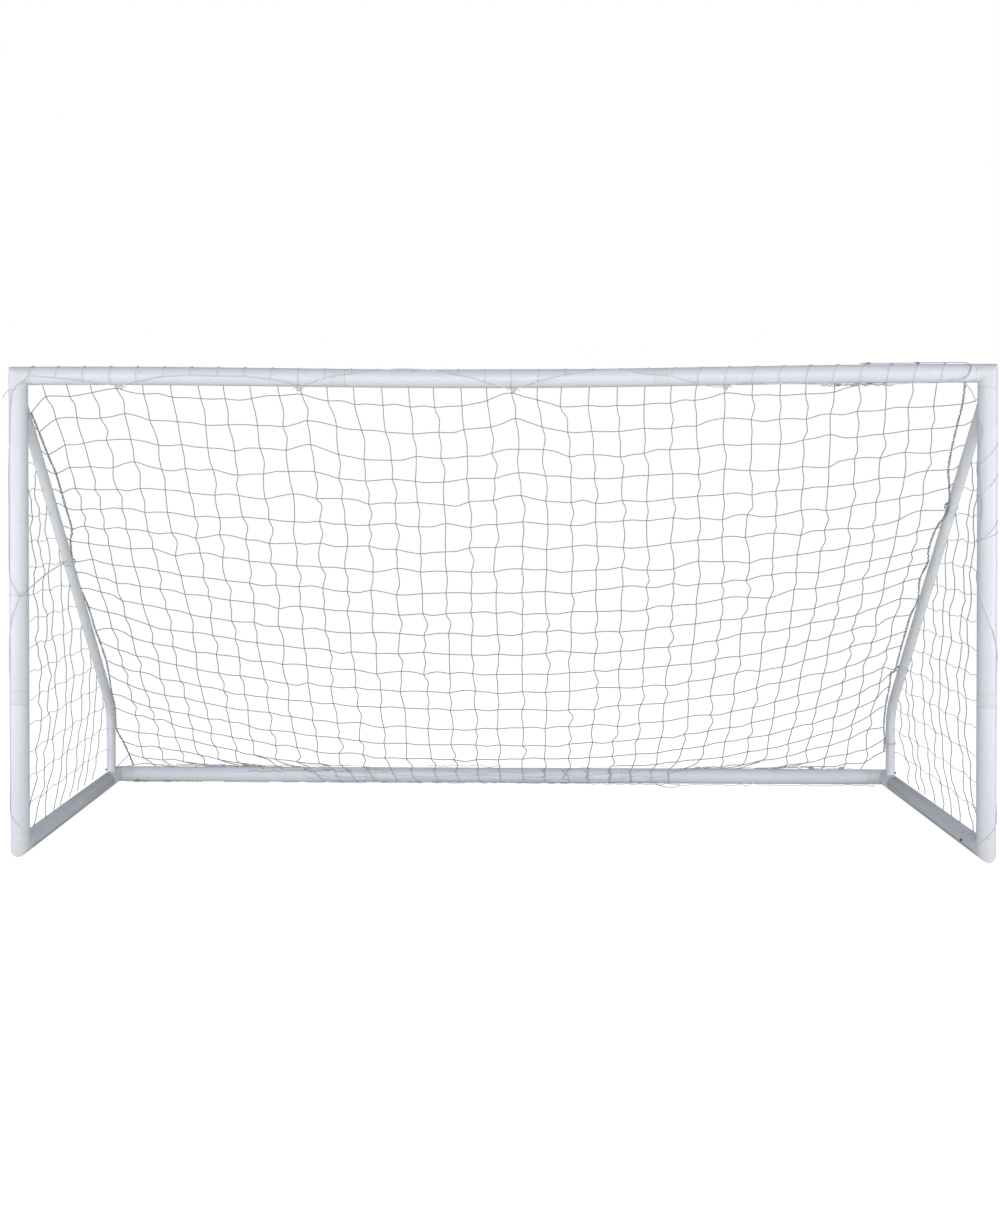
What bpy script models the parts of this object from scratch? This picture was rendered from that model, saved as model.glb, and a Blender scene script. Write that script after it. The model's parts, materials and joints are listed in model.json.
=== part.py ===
"""Portable soccer goal: push-fit plastic tubes, locked by snap buttons, with a net tied on.

Metres, +Z up. The goal stands on Z = 0. X runs along the crossbar, and the goal
mouth faces -Y. The origin lies on the ground, in the middle of the goal's box.
Round pieces are polygons whose flats lie at the named radius, so that tubes nest
with the same clearance all round, and a ground bar has a flat facet to rest on.
"""

import math

import bmesh
import bpy
from mathutils import Vector

# Overall size, outside to outside
OUTER_WIDTH = 3.66
OUTER_HEIGHT = 1.83
OUTER_DEPTH = 1.22

# Main tube of posts, crossbar and ground bars
TUBE_R = 0.034
TUBE_WALL = 0.003
TUBE_SIDES = 16
CROSSBAR_SAG = 0.016
SAG_STEPS = 3
SLOPE_STEP = 0.001

# Push-fit joints
FIT = 0.0003
BUTT_GAP = 0.0003
SPIGOT_WALL = 0.003
SPIGOT_LENGTH = 0.105
SPIGOT_CHAMFER = 0.002
COLLAR_LENGTH = 0.050
COUPLER_FROM_MIDDLE = 0.595
POST_COUPLER_HEIGHT = 0.594
ELBOW_ARM = 0.054
REAR_ARM_ACROSS = 0.080
REAR_ARM_FORWARD = 0.140

# Rear stanchions: a sloping tube, a knee, and an upright leg over a stub
STANCHION_R = 0.020
STANCHION_WALL = 0.002
STANCHION_SIDES = 16
STANCHION_DROP = 0.057
STANCHION_INSET = 0.004
LEG_SETBACK = 1.067
KNEE_HEIGHT = 0.358
KNEE_R = 0.250
KNEE_STEPS = 5
LEG_TOP = 0.266
NECK_LENGTH = 0.050
STUB_TOP = 0.165
STUB_WALL = 0.003

# Snap buttons and their V springs
SNAP_R = 0.0045
SNAP_PROUD = 0.0065
SNAP_SIDES = 16
# The button's dome: how far below its tip, and how wide, in shares of its radius
SNAP_DOME = [(0.5, 1), (0.2, 0.8), (0, 0.35)]
SNAP_FLANGE_R = 0.0056
SNAP_FLANGE = 0.0015
SNAP_SETBACK = 0.143
FOOT_SNAP_HEIGHT = 0.0745
FOOT_SNAP_TURN = math.radians(22.5)
SPRING_WIDTH = 0.007
SPRING_THICK = 0.0008
SPRING_LENGTH = 0.042
SPRING_BEND_R = 0.004
SPRING_BEND_STEPS = 4
SPRING_PAD = 0.006
SPRING_TOE = 0.003
FLANGE_DROP = 0.0012

# Net and cords
TWINE = 0.005
ROPE_R = 0.003
CORD_GAP = 0.0004
NET_SPAN = 1.70
NET_FOOT_SPAN = 1.742
NET_COLUMNS = 16
WRAP_ROWS = 4
HANG_ROWS = 7
FOOT_ROWS = 3
NET_SAG = 0.30
# The net follows the stanchions only near its edges: the higher, the nearer
NET_PULL = 4
SIDE_COLUMNS = 4
SIDE_ROWS = 7
SIDE_TOP = 1.600
FINE_STEPS = 200
LAST_WRAP = math.radians(160)
FIRST_FOOT = math.radians(118)
LAST_FOOT = math.radians(205)
ROW_OVER_ROPE = math.radians(12)
FOOT_ROPE_TURN = math.radians(225)
FOOT_ROPE_SIDES = 8
HEAD_ROPE_STEPS = 3
LACING_STEP = 18
TIE_R = 0.0015
TIE_STEPS = 12
# The corner rope and the back net's edge, turned from the inner side to the back
CORNER_ROPE_TURN = math.radians(30)
BACK_EDGE_TURN = math.radians(45)

# How far the net stands out from the axes of the front and the rear tubes
FRONT_REACH = 0.0435
REAR_REACH = 0.0413

# Where the head rope lies on the crossbar at each column of the net, left to
# right, in degrees above the middle of its front face
HEAD_ROPE = [0, -37, -33, 3, -25, 0, 48, 15, -33, 0, 48, 12, -42, -40, -75, -70, -45]

# The lacing cord round each post: height, and degrees from the front towards
# the outside of the goal
LEFT_LACING = [
    (1.725, 20), (1.58, 45), (1.43, 72), (1.32, 92), (1.15, 180), (0.985, 270),
    (0.935, 350), (0.88, 405), (0.81, 440), (0.66, 450), (0.30, 450),
    (0.16, 436), (0.105, 350), (0.075, 300),
]
RIGHT_LACING = [
    (1.725, -40), (1.55, -68), (1.33, -75), (1.24, -50), (1.19, 60), (1.08, 180),
    (0.955, 270), (0.87, 345), (0.80, 380), (0.70, 445), (0.50, 450), (0.30, 450),
    (0.15, 435), (0.10, 350), (0.070, 300),
]
# Ties round the left and right stanchion, as heights
LEFT_TIES = [1.07]
RIGHT_TIES = [1.30, 0.57, 0.21]

AXIS_X = OUTER_WIDTH / 2 - TUBE_R
AXIS_TOP = OUTER_HEIGHT - TUBE_R
STANCHION_HIGH = AXIS_TOP - STANCHION_DROP
TUBE_CORNER = TUBE_R / math.cos(math.pi / TUBE_SIDES)
ROPE_RING = TUBE_CORNER + 2 * CORD_GAP + ROPE_R
NET_SEAT = TUBE_CORNER + CORD_GAP + TWINE / 2
REAR_Y = (OUTER_DEPTH - 2 * TUBE_R + FRONT_REACH - REAR_REACH) / 2
POST_Y = REAR_Y - (OUTER_DEPTH - 2 * TUBE_R)
LEG_Y = POST_Y + LEG_SETBACK
BORE_R = TUBE_R - TUBE_WALL
SPIGOT_R = BORE_R - FIT
SPIGOT_BORE = SPIGOT_R - SPIGOT_WALL
LEG_BORE = STANCHION_R - STANCHION_WALL
STUB_R = LEG_BORE - FIT
STUB_BORE = STUB_R - STUB_WALL
CORNER_ROPE_OFF = STANCHION_R + 2 * CORD_GAP + ROPE_R
TIE_LOOP_R = (CORNER_ROPE_OFF + CORD_GAP) / math.cos(math.pi / TIE_STEPS) + TIE_R
SIDE_EDGE_OFF = TIE_LOOP_R + TIE_R + ROPE_R + CORD_GAP + TWINE / 2
BACK_EDGE_OFF = SIDE_EDGE_OFF + TWINE

X = Vector((1, 0, 0))
Y = Vector((0, 1, 0))
Z = Vector((0, 0, 1))
SIDES = {"left": -1, "right": 1}
TINY = 1e-9


def material(name, colour, roughness, metallic=0.0):
    """A plain Principled material; colour is linear."""
    made = bpy.data.materials.new(name)
    made.use_nodes = True
    shader = made.node_tree.nodes["Principled BSDF"]
    shader.inputs["Base Color"].default_value = (*colour, 1)
    shader.inputs["Roughness"].default_value = roughness
    shader.inputs["Metallic"].default_value = metallic
    made.diffuse_color = (*colour, 1)
    return made


def clear_scene():
    for obj in list(bpy.data.objects):
        bpy.data.objects.remove(obj, do_unlink=True)


def place(obj, mat, cutter=False):
    """Links an object, gives it a material of its own and joins it to the goal."""
    bpy.context.scene.collection.objects.link(obj)
    if cutter:
        obj.hide_render = True
        obj.display_type = "WIRE"
    else:
        own = mat.copy()
        own.name = f"{obj.name}_{mat.name}"
        obj.data.materials.append(own)
        obj.parent = bpy.data.objects["goal"]
    return obj


def ring(centre, across, up, radius, sides):
    """A polygon round centre whose flats lie at radius, with flats at across and up."""
    corner_r = radius / math.cos(math.pi / sides)
    turns = [2 * math.pi * (i + 0.5) / sides for i in range(sides)]
    return [centre + corner_r * (across * math.cos(t) + up * math.sin(t)) for t in turns]


def skin(name, rings, mat, capped=False, cutter=False):
    """One closed body over a row of rings, capped at both ends or joined end to end."""
    mesh = bpy.data.meshes.new(name)
    form = bmesh.new()
    rows = [[form.verts.new(point) for point in loop] for loop in rings]
    pairs = list(zip(rows, rows[1:]))
    if capped:
        form.faces.new(rows[0])
        form.faces.new(rows[-1])
    else:
        pairs.append((rows[-1], rows[0]))
    for low, high in pairs:
        for i in range(len(low)):
            j = (i + 1) % len(low)
            form.faces.new((low[i], low[j], high[j], high[i]))
    bmesh.ops.recalc_face_normals(form, faces=form.faces)
    form.to_mesh(mesh)
    form.free()
    mesh.shade_smooth()
    mesh.set_sharp_from_angle(angle=math.radians(35))
    return place(bpy.data.objects.new(name, mesh), mat, cutter)


def rings_along(stations, across, sides):
    """Rings at stations of (centre, direction, radius), with one side facing across."""
    made = []
    for centre, along, radius in stations:
        up = along.normalized().cross(across)
        made.append(ring(centre, across, up, radius, sides))
    return made


def hollow(name, outside, inside, across, sides, mat):
    """A tube over outside stations, bored by inside stations given in the same order."""
    outer = rings_along(outside, across, sides)
    inner = rings_along(inside, across, sides)
    return skin(name, outer + inner[::-1], mat)


def tube(name, line, across, mat, radius=TUBE_R, wall=TUBE_WALL, sides=TUBE_SIDES):
    """An open tube along (point, direction) pairs."""
    outside = [(point, along, radius) for point, along in line]
    inside = [(point, along, radius - wall) for point, along in line]
    return hollow(name, outside, inside, across, sides, mat)


def rod(name, start, end, radius, sides, across, cutter=True, mat=None):
    along = end - start
    stations = [(start, along, radius), (end, along, radius)]
    return skin(name, rings_along(stations, across, sides), mat, True, cutter)


def cut(obj, tool, operation="DIFFERENCE"):
    step = obj.modifiers.new(f"{operation.lower()}_{tool.name}", "BOOLEAN")
    step.operation = operation
    step.object = tool
    step.solver = "EXACT"


def sag(x):
    """How far the crossbar hangs at x: level over its elbows' spigots, lowest in the middle."""
    share = min(1, abs(x) / (AXIS_X - ELBOW_ARM - SPIGOT_LENGTH))
    return CROSSBAR_SAG * (1 + math.cos(math.pi * share)) / 2


def crossbar_at(x):
    """The crossbar's centre at x, and its direction there."""
    rise = (sag(x - SLOPE_STEP) - sag(x + SLOPE_STEP)) / (2 * SLOPE_STEP)
    return Vector((x, POST_Y, AXIS_TOP - sag(x))), Vector((1, 0, rise)).normalized()


def rear_bar_at(x):
    return Vector((x, REAR_Y, TUBE_R)), X.copy()


def post_at(side):
    return lambda z: (Vector((SIDES[side] * AXIS_X, POST_Y, z)), Z.copy())


def side_bar_at(side):
    return lambda y: (Vector((SIDES[side] * AXIS_X, y, TUBE_R)), Y.copy())


def section(name, at, start, end, across, mat, steps=1):
    """A length of main tube from start to end along the line that at() gives."""
    spots = {start, end}
    for i in range(1, steps):
        spots.add(start + (end - start) * i / steps)
    level = AXIS_X - ELBOW_ARM - SPIGOT_LENGTH
    spots.update(spot for spot in (-level, level) if steps > 1 and start < spot < end)
    return tube(name, [at(spot) for spot in sorted(spots)], across, mat)


def coupler(name, at, middle, across, mat):
    """A flush collar with a spigot into the tube on each side."""
    outside = []
    inside = []
    for sign in (-1, 1):
        face = middle + sign * COLLAR_LENGTH / 2
        tip = face + sign * SPIGOT_LENGTH
        chamfer = tip - sign * SPIGOT_CHAMFER
        stations = [
            (*at(tip), SPIGOT_R - SPIGOT_CHAMFER),
            (*at(chamfer), SPIGOT_R),
            (*at(face), SPIGOT_R),
            (*at(face), TUBE_R),
        ]
        outside += stations if sign < 0 else stations[::-1]
        inside.append((*at(tip), SPIGOT_BORE))
    return hollow(name, outside, inside, across, TUBE_SIDES, mat)


def elbow(name, corner, first, second, arms, mat):
    """A mitred right-angle elbow: two arms, each with a spigot beyond its shoulder."""
    across = first.cross(second)
    outside = []
    inside = []
    for along, other, arm in ((first, second, arms[0]), (second, first, arms[1])):
        tip = arm + SPIGOT_LENGTH
        steps = [
            (tip, SPIGOT_R - SPIGOT_CHAMFER),
            (tip - SPIGOT_CHAMFER, SPIGOT_R),
            (arm, SPIGOT_R),
            (arm, TUBE_R),
        ]
        outside.append(
            [ring(corner + along * d, across, -other, r, TUBE_SIDES) for d, r in steps]
        )
        inside.append(ring(corner + along * tip, across, -other, SPIGOT_BORE, TUBE_SIDES))
    mitre = [
        ring(corner, across, -(first + second), radius, TUBE_SIDES)
        for radius in (TUBE_R, SPIGOT_BORE)
    ]
    rings = outside[0] + [mitre[0]] + outside[1][::-1]
    rings += [inside[1], mitre[1], inside[0]]
    return skin(name, rings, mat)


def stanchion_line(side):
    """(point, direction) pairs down the stanchion, from inside the post to the leg's top."""
    x = SIDES[side] * AXIS_X
    top = Vector((x, POST_Y, STANCHION_HIGH))
    knee = Vector((x, LEG_Y, KNEE_HEIGHT))
    slope = (knee - top).normalized()
    turn = math.atan2(slope.y, -slope.z)
    tangent = KNEE_R * math.tan(turn / 2)
    start = top + slope * (STANCHION_INSET / slope.y)
    line = [(start, slope)]
    for i in range(KNEE_STEPS + 1):
        angle = turn * (1 - i / KNEE_STEPS)
        y = LEG_Y - KNEE_R * (1 - math.cos(angle))
        z = KNEE_HEIGHT - tangent + KNEE_R * math.sin(angle)
        line.append((Vector((x, y, z)), Vector((0, math.sin(angle), -math.cos(angle)))))
    line.append((Vector((x, LEG_Y, LEG_TOP)), -Z))
    return line


def stanchion_at(side, height):
    """The stanchion's centre at a height, and its direction there."""
    line = stanchion_line(side) + [(Vector((SIDES[side] * AXIS_X, LEG_Y, 0)), -Z)]
    for (high, start), (low, end) in zip(line, line[1:]):
        if low.z <= height <= high.z:
            share = (high.z - height) / (high.z - low.z)
            return high.lerp(low, share), start.lerp(end, share).normalized()
    return line[0]


def beside_stanchion(side, height, distance, turn):
    """A point off the stanchion: turned from the goal's inside towards its back."""
    centre, along = stanchion_at(side, height)
    inward = -SIDES[side] * X
    back = Vector((0, -along.z, along.y))
    return centre + distance * (inward * math.cos(turn) + back * math.sin(turn))


def heights_down(side, top, count):
    """Heights at even steps along the stanchion, from top to the rear fitting."""
    fine = [top + (2 * TUBE_R - top) * i / FINE_STEPS for i in range(FINE_STEPS + 1)]
    spots = [stanchion_at(side, height)[0] for height in fine]
    run = [0.0]
    for start, end in zip(spots, spots[1:]):
        run.append(run[-1] + (end - start).length)
    wanted = [run[-1] * i / count for i in range(count + 1)]
    return [next(z for z, r in zip(fine, run) if r >= step - TINY) for step in wanted]


def make_frame(tube_mat, fitting_mat):
    """Tubes, couplers, elbows and rear fittings."""
    crossbar_end = AXIS_X - ELBOW_ARM - BUTT_GAP
    rear_end = AXIS_X - REAR_ARM_ACROSS - BUTT_GAP
    near = COUPLER_FROM_MIDDLE - COLLAR_LENGTH / 2 - BUTT_GAP
    far = COUPLER_FROM_MIDDLE + COLLAR_LENGTH / 2 + BUTT_GAP
    bars = (
        ("crossbar", crossbar_at, crossbar_end, SAG_STEPS),
        ("rear_bar", rear_bar_at, rear_end, 1),
    )
    for bar, at, end, steps in bars:
        section(f"{bar}_left", at, -end, -far, Y, tube_mat, steps)
        section(f"{bar}_centre", at, -near, near, Y, tube_mat, steps)
        section(f"{bar}_right", at, far, end, Y, tube_mat, steps)
        for side, sign in SIDES.items():
            middle = sign * COUPLER_FROM_MIDDLE
            coupler(f"{bar}_coupler_{side}", at, middle, Y, fitting_mat)
    for side, sign in SIDES.items():
        make_side(side, sign, tube_mat, fitting_mat)


def make_side(side, sign, tube_mat, fitting_mat):
    """One post, its elbows, the side bar, the rear fitting and the stanchion."""
    post = post_at(side)
    base = TUBE_R + ELBOW_ARM + BUTT_GAP
    head = AXIS_TOP - ELBOW_ARM - BUTT_GAP
    below = POST_COUPLER_HEIGHT - COLLAR_LENGTH / 2 - BUTT_GAP
    above = POST_COUPLER_HEIGHT + COLLAR_LENGTH / 2 + BUTT_GAP
    section(f"post_lower_{side}", post, base, below, Y, tube_mat)
    upper = section(f"post_upper_{side}", post, above, head, Y, tube_mat)
    coupler(f"post_coupler_{side}", post, POST_COUPLER_HEIGHT, Y, fitting_mat)

    top_corner = Vector((sign * AXIS_X, POST_Y, AXIS_TOP))
    base_corner = Vector((sign * AXIS_X, POST_Y, TUBE_R))
    rear_corner = Vector((sign * AXIS_X, REAR_Y, TUBE_R))
    equal = (ELBOW_ARM, ELBOW_ARM)
    top = elbow(f"top_elbow_{side}", top_corner, -Z, -sign * X, equal, fitting_mat)
    low = elbow(f"base_elbow_{side}", base_corner, Z, Y, equal, fitting_mat)
    arms = (REAR_ARM_FORWARD, REAR_ARM_ACROSS)
    rear = elbow(f"rear_fitting_{side}", rear_corner, -Y, -sign * X, arms, fitting_mat)

    start = POST_Y + ELBOW_ARM + BUTT_GAP
    end = REAR_Y - REAR_ARM_FORWARD - BUTT_GAP
    bar = section(f"side_bar_{side}", side_bar_at(side), start, end, X, tube_mat)

    leg = make_stanchion(side, (upper, top), tube_mat)
    add_stub(side, rear, leg)
    spot = Vector((sign * AXIS_X, POST_Y + SNAP_SETBACK, TUBE_R))
    snap = snap_button(f"side_snap_{side}", spot, -X, Y, SPIGOT_BORE, TUBE_R)
    drill(snap, (bar, low))
    spot = Vector((sign * AXIS_X, LEG_Y, FOOT_SNAP_HEIGHT))
    out = sign * math.cos(FOOT_SNAP_TURN) * X - math.sin(FOOT_SNAP_TURN) * Y
    snap = snap_button(f"foot_snap_{side}", spot, out, Z, STUB_BORE, STANCHION_R)
    drill(snap, (rear, leg))


def make_stanchion(side, sockets, mat):
    """The sloping tube with its necked end, its hole in the post, and the upright leg."""
    line = stanchion_line(side)
    joint = line[-1][0]
    neck_r = LEG_BORE - FIT
    neck_tip = joint - Z * NECK_LENGTH
    outside = [(point, along, STANCHION_R) for point, along in line]
    outside += [(joint, -Z, neck_r), (neck_tip, -Z, neck_r)]
    inside = [(point, along, LEG_BORE) for point, along in line[:-1]]
    inside += [(joint, -Z, neck_r - STANCHION_WALL), (neck_tip, -Z, neck_r - STANCHION_WALL)]
    hollow(f"stanchion_{side}", outside, inside, X, STANCHION_SIDES, mat)

    start, slope = line[0]
    reach = 4 * TUBE_R
    name = f"cut_socket_{side}"
    socket = rod(name, start - slope * FIT, start + slope * reach, STANCHION_R + FIT, STANCHION_SIDES, X)
    for part in sockets:
        cut(part, socket)

    top = (Vector((joint.x, joint.y, LEG_TOP - BUTT_GAP)), -Z)
    foot = (Vector((joint.x, joint.y, TUBE_R)), -Z)
    return tube(
        f"stanchion_leg_{side}", [top, foot], X, mat, STANCHION_R, STANCHION_WALL, STANCHION_SIDES
    )


def add_stub(side, fitting, leg):
    """The stub that the leg slips over, and the saddle at the leg's foot."""
    x = SIDES[side] * AXIS_X
    rim = math.sqrt(TUBE_R**2 - STUB_R**2)
    bottom = Vector((x, LEG_Y, TUBE_R + rim - SPIGOT_WALL))
    top = Vector((x, LEG_Y, STUB_TOP))
    stub = rod(f"add_stub_{side}", bottom, top, STUB_R, STANCHION_SIDES, X)
    cut(fitting, stub, "UNION")
    middle = Vector((x, LEG_Y, TUBE_R))
    bore = rod(f"cut_stub_{side}", middle, top + Z * FIT, STUB_BORE, STANCHION_SIDES, X)
    cut(fitting, bore)
    reach = Y * 2 * STANCHION_R
    saddle = rod(f"cut_saddle_{side}", middle - reach, middle + reach, TUBE_R + FIT, TUBE_SIDES, X)
    cut(leg, saddle)


def snap_button(name, spot, out, along, bore, outer):
    """A domed button through a wall, its joint's empty, and the V spring behind it.

    spot lies on the tube's axis, out is the way the button stands out, along runs
    down the tube, bore is the inner wall's radius and outer the outer wall's.
    """
    seat = bore - FLANGE_DROP
    head = outer + SNAP_PROUD
    shape = [
        (seat - SNAP_FLANGE, SNAP_FLANGE_R),
        (seat, SNAP_FLANGE_R),
        (seat, SNAP_R),
    ]
    shape += [(head - below * SNAP_R, wide * SNAP_R) for below, wide in SNAP_DOME]
    stations = [(out * distance, out, radius) for distance, radius in shape]
    button = skin(name, rings_along(stations, along, SNAP_SIDES), BUTTON, True)
    button.location = spot

    pad = seat - SNAP_FLANGE - FIT - SPRING_THICK / 2
    far = -(bore - FIT - SPRING_THICK)
    turns = [math.pi * i / SPRING_BEND_STEPS for i in range(SPRING_BEND_STEPS + 1)]
    bend = [
        (SPRING_BEND_R * math.cos(t), SPRING_LENGTH + SPRING_BEND_R * math.sin(t))
        for t in turns
    ]
    path = [(pad, -SPRING_PAD), (pad, SPRING_PAD)] + bend
    path += [(far, SPRING_TOE), (far, -SPRING_TOE)]
    width = out.cross(along) * SPRING_WIDTH / 2
    strip = [out * u + along * v for u, v in path]
    mesh = bpy.data.meshes.new(f"{name}_spring")
    form = bmesh.new()
    rows = [(form.verts.new(p - width), form.verts.new(p + width)) for p in strip]
    for (a, b), (c, d) in zip(rows, rows[1:]):
        form.faces.new((a, b, d, c))
    form.to_mesh(mesh)
    form.free()
    spring = place(bpy.data.objects.new(f"{name}_spring", mesh), STEEL)
    spring.location = spot
    thick = spring.modifiers.new("thickness", "SOLIDIFY")
    thick.thickness = SPRING_THICK
    thick.offset = 0
    return button, spot, out, along, outer


def drill(snap, walls):
    """The button's hole through each wall that it locks."""
    button, spot, out, along, outer = snap
    end = spot + out * (outer + SNAP_PROUD)
    tool = rod(f"cut_{button.name}", spot + out * SNAP_R, end, SNAP_R + FIT, SNAP_SIDES, along)
    for wall in walls:
        cut(wall, tool)


def rope(name, points, radius, mat, closed=False):
    """A cord along points."""
    curve = bpy.data.curves.new(name, "CURVE")
    curve.dimensions = "3D"
    curve.bevel_depth = radius
    curve.bevel_resolution = 0
    curve.use_fill_caps = True
    spline = curve.splines.new("POLY")
    spline.points.add(len(points) - 1)
    for spot, point in zip(spline.points, points):
        spot.co = (*point, 1)
    spline.use_cyclic_u = closed
    return place(bpy.data.objects.new(name, curve), mat)


def netting(name, grid, mat):
    """A net with a strand along each edge of a grid of knots."""
    mesh = bpy.data.meshes.new(name)
    columns = len(grid[0])
    knots = [knot for row in grid for knot in row]
    faces = []
    for row in range(len(grid) - 1):
        for column in range(columns - 1):
            first = row * columns + column
            faces.append((first, first + 1, first + columns + 1, first + columns))
    mesh.from_pydata(knots, [], faces)
    net = place(bpy.data.objects.new(name, mesh), mat)
    strands = net.modifiers.new("strands", "WIREFRAME")
    strands.thickness = TWINE
    strands.use_even_offset = False
    strands.use_boundary = True
    return net


def round_bar(centre, angle, radius):
    """A point round a bar along X: 0 faces the front, a quarter turn faces up."""
    return centre + radius * (-Y * math.cos(angle) + Z * math.sin(angle))


def net_column(column):
    """One column of knots: over the crossbar, down the back and round the rear bar."""
    share = 2 * column / NET_COLUMNS - 1
    top = crossbar_at(share * NET_SPAN)[0]
    foot = rear_bar_at(share * NET_FOOT_SPAN)[0]
    first = math.radians(HEAD_ROPE[column]) + ROW_OVER_ROPE
    beside = [HEAD_ROPE[i] for i in (column - 1, column + 1) if 0 <= i <= NET_COLUMNS]
    swing = max(abs(math.radians(HEAD_ROPE[column] - angle)) for angle in beside)
    step = (LAST_WRAP - first) / WRAP_ROWS
    seat = NET_SEAT / math.cos(max(step, swing) / 2)
    knots = [round_bar(top, first + step * i, seat) for i in range(WRAP_ROWS + 1)]
    turn = (LAST_FOOT - FIRST_FOOT) / FOOT_ROWS
    low_seat = NET_SEAT / math.cos(turn / 2)
    wrap = [round_bar(foot, FIRST_FOOT + turn * i, low_seat) for i in range(FOOT_ROWS + 1)]
    start = knots[-1]
    end = wrap[0]
    side = "right" if share > 0 else "left"
    pull = abs(share) ** NET_PULL
    heights = heights_down(side, SIDE_TOP, HANG_ROWS)
    for i in range(1, HANG_ROWS):
        t = i / HANG_ROWS
        hung = start.lerp(end, t) - Z * NET_SAG * 4 * t * (1 - t)
        tied = beside_stanchion(side, heights[i], BACK_EDGE_OFF, BACK_EDGE_TURN)
        knots.append(hung.lerp(tied, pull))
    return knots + wrap


def side_net(side):
    """The knots of a side panel: rows from the ground bar up, columns from post to stanchion."""
    off = SIDE_EDGE_OFF
    lace_seat = ROPE_RING + ROPE_R + CORD_GAP + TWINE / 2
    front = POST_Y + math.sqrt(lace_seat**2 - off**2)
    bottom = TUBE_R + math.sqrt((TUBE_R + FIT + TWINE / 2) ** 2 - off**2)
    grid = []
    for row in range(SIDE_ROWS + 1):
        height = bottom + (SIDE_TOP - bottom) * row / SIDE_ROWS
        edge = beside_stanchion(side, height, off, 0)
        start = Vector((edge.x, front, height))
        grid.append([start.lerp(edge, i / SIDE_COLUMNS) for i in range(SIDE_COLUMNS + 1)])
    return grid


def make_net(net_mat, cord_mat):
    columns = [net_column(column) for column in range(NET_COLUMNS + 1)]
    netting("back_net", [list(row) for row in zip(*columns)], net_mat)
    for side in SIDES:
        netting(f"side_net_{side}", side_net(side), net_mat)

    steps = HEAD_ROPE_STEPS
    head = []
    for i in range(NET_COLUMNS * steps + 1):
        column, part = divmod(i, steps)
        after = HEAD_ROPE[min(column + 1, NET_COLUMNS)]
        angle = math.radians(HEAD_ROPE[column] + (after - HEAD_ROPE[column]) * part / steps)
        share = 2 * i / (NET_COLUMNS * steps) - 1
        head.append(round_bar(crossbar_at(share * NET_SPAN)[0], angle, ROPE_RING))
    rope("head_rope", head, ROPE_R, cord_mat)
    ring_r = TUBE_R + FIT + ROPE_R
    start, end = (
        round_bar(rear_bar_at(sign * NET_FOOT_SPAN)[0], FOOT_ROPE_TURN, ring_r) for sign in (-1, 1)
    )
    outward = round_bar(Vector(), FOOT_ROPE_TURN, 1)
    rod("foot_rope", start, end, ROPE_R, FOOT_ROPE_SIDES, outward, False, cord_mat)


def make_lacing(side, route, mat):
    """The cord wound round a post, through (height, angle) pairs."""
    centre = post_at(side)
    outward = SIDES[side] * X
    knots = []
    for (z, angle), (next_z, next_angle) in zip(route, route[1:]):
        steps = max(1, math.ceil(abs(next_angle - angle) / LACING_STEP))
        for i in range(steps):
            knots.append((z + (next_z - z) * i / steps, angle + (next_angle - angle) * i / steps))
    knots.append(route[-1])
    seat = (TUBE_CORNER + CORD_GAP) / math.cos(math.radians(LACING_STEP / 2)) + ROPE_R
    points = []
    for z, angle in knots:
        turn = math.radians(angle)
        points.append(centre(z)[0] + seat * (-Y * math.cos(turn) + outward * math.sin(turn)))
    rope(f"post_lacing_{side}", points, ROPE_R, mat)


def make_corner(side, ties, mat):
    """The corner rope along a stanchion, and the ties that hold it there."""
    heights = [SIDE_TOP]
    heights += [point.z for point, along in stanchion_line(side)[1:]]
    heights.append(3 * TUBE_R)
    points = [beside_stanchion(side, z, CORNER_ROPE_OFF, CORNER_ROPE_TURN) for z in heights]
    rope(f"corner_rope_{side}", points, ROPE_R, mat)
    for number, height in enumerate(ties, 1):
        along = stanchion_at(side, height)[1]
        middle = beside_stanchion(side, height, ROPE_R, CORNER_ROPE_TURN)
        inward = -SIDES[side] * X
        back = Vector((0, -along.z, along.y))
        turns = [2 * math.pi * (i + 0.5) / TIE_STEPS for i in range(TIE_STEPS)]
        loop = [middle + TIE_LOOP_R * (inward * math.cos(t) + back * math.sin(t)) for t in turns]
        rope(f"stanchion_tie_{side}_{number}", loop, TIE_R, mat, True)


clear_scene()
goal = bpy.data.objects.new("goal", None)
bpy.context.scene.collection.objects.link(goal)
TUBE_PLASTIC = material("tube_plastic", (0.74, 0.77, 0.84), 0.32)
FITTING_PLASTIC = material("fitting_plastic", (0.76, 0.76, 0.74), 0.40)
BUTTON = material("button_plastic", (0.012, 0.012, 0.013), 0.35)
STEEL = material("spring_steel", (0.46, 0.47, 0.49), 0.35, 1.0)
TWINE_WHITE = material("net_twine", (0.78, 0.78, 0.78), 0.8)
CORD_WHITE = material("white_cord", (0.82, 0.82, 0.80), 0.75)

make_frame(TUBE_PLASTIC, FITTING_PLASTIC)
make_net(TWINE_WHITE, CORD_WHITE)
make_lacing("left", LEFT_LACING, CORD_WHITE)
make_lacing("right", RIGHT_LACING, CORD_WHITE)
make_corner("left", LEFT_TIES, CORD_WHITE)
make_corner("right", RIGHT_TIES, CORD_WHITE)
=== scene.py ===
# %% [markdown]
# # A portable soccer goal
#
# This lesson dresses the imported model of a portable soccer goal, so that it looks
# like the real one in a studio picture. The real goal is a frame of push-fit white
# plastic tubes with a knotted net tied on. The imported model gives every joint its
# exact place, but its tubes are polygons and its cords are plain bars. Here each of
# them gets a round, finely made stand-in in the same place, and a real finish.

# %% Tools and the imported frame
import json

import bmesh
import bpy
import numpy as np
from mathutils import Matrix

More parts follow.
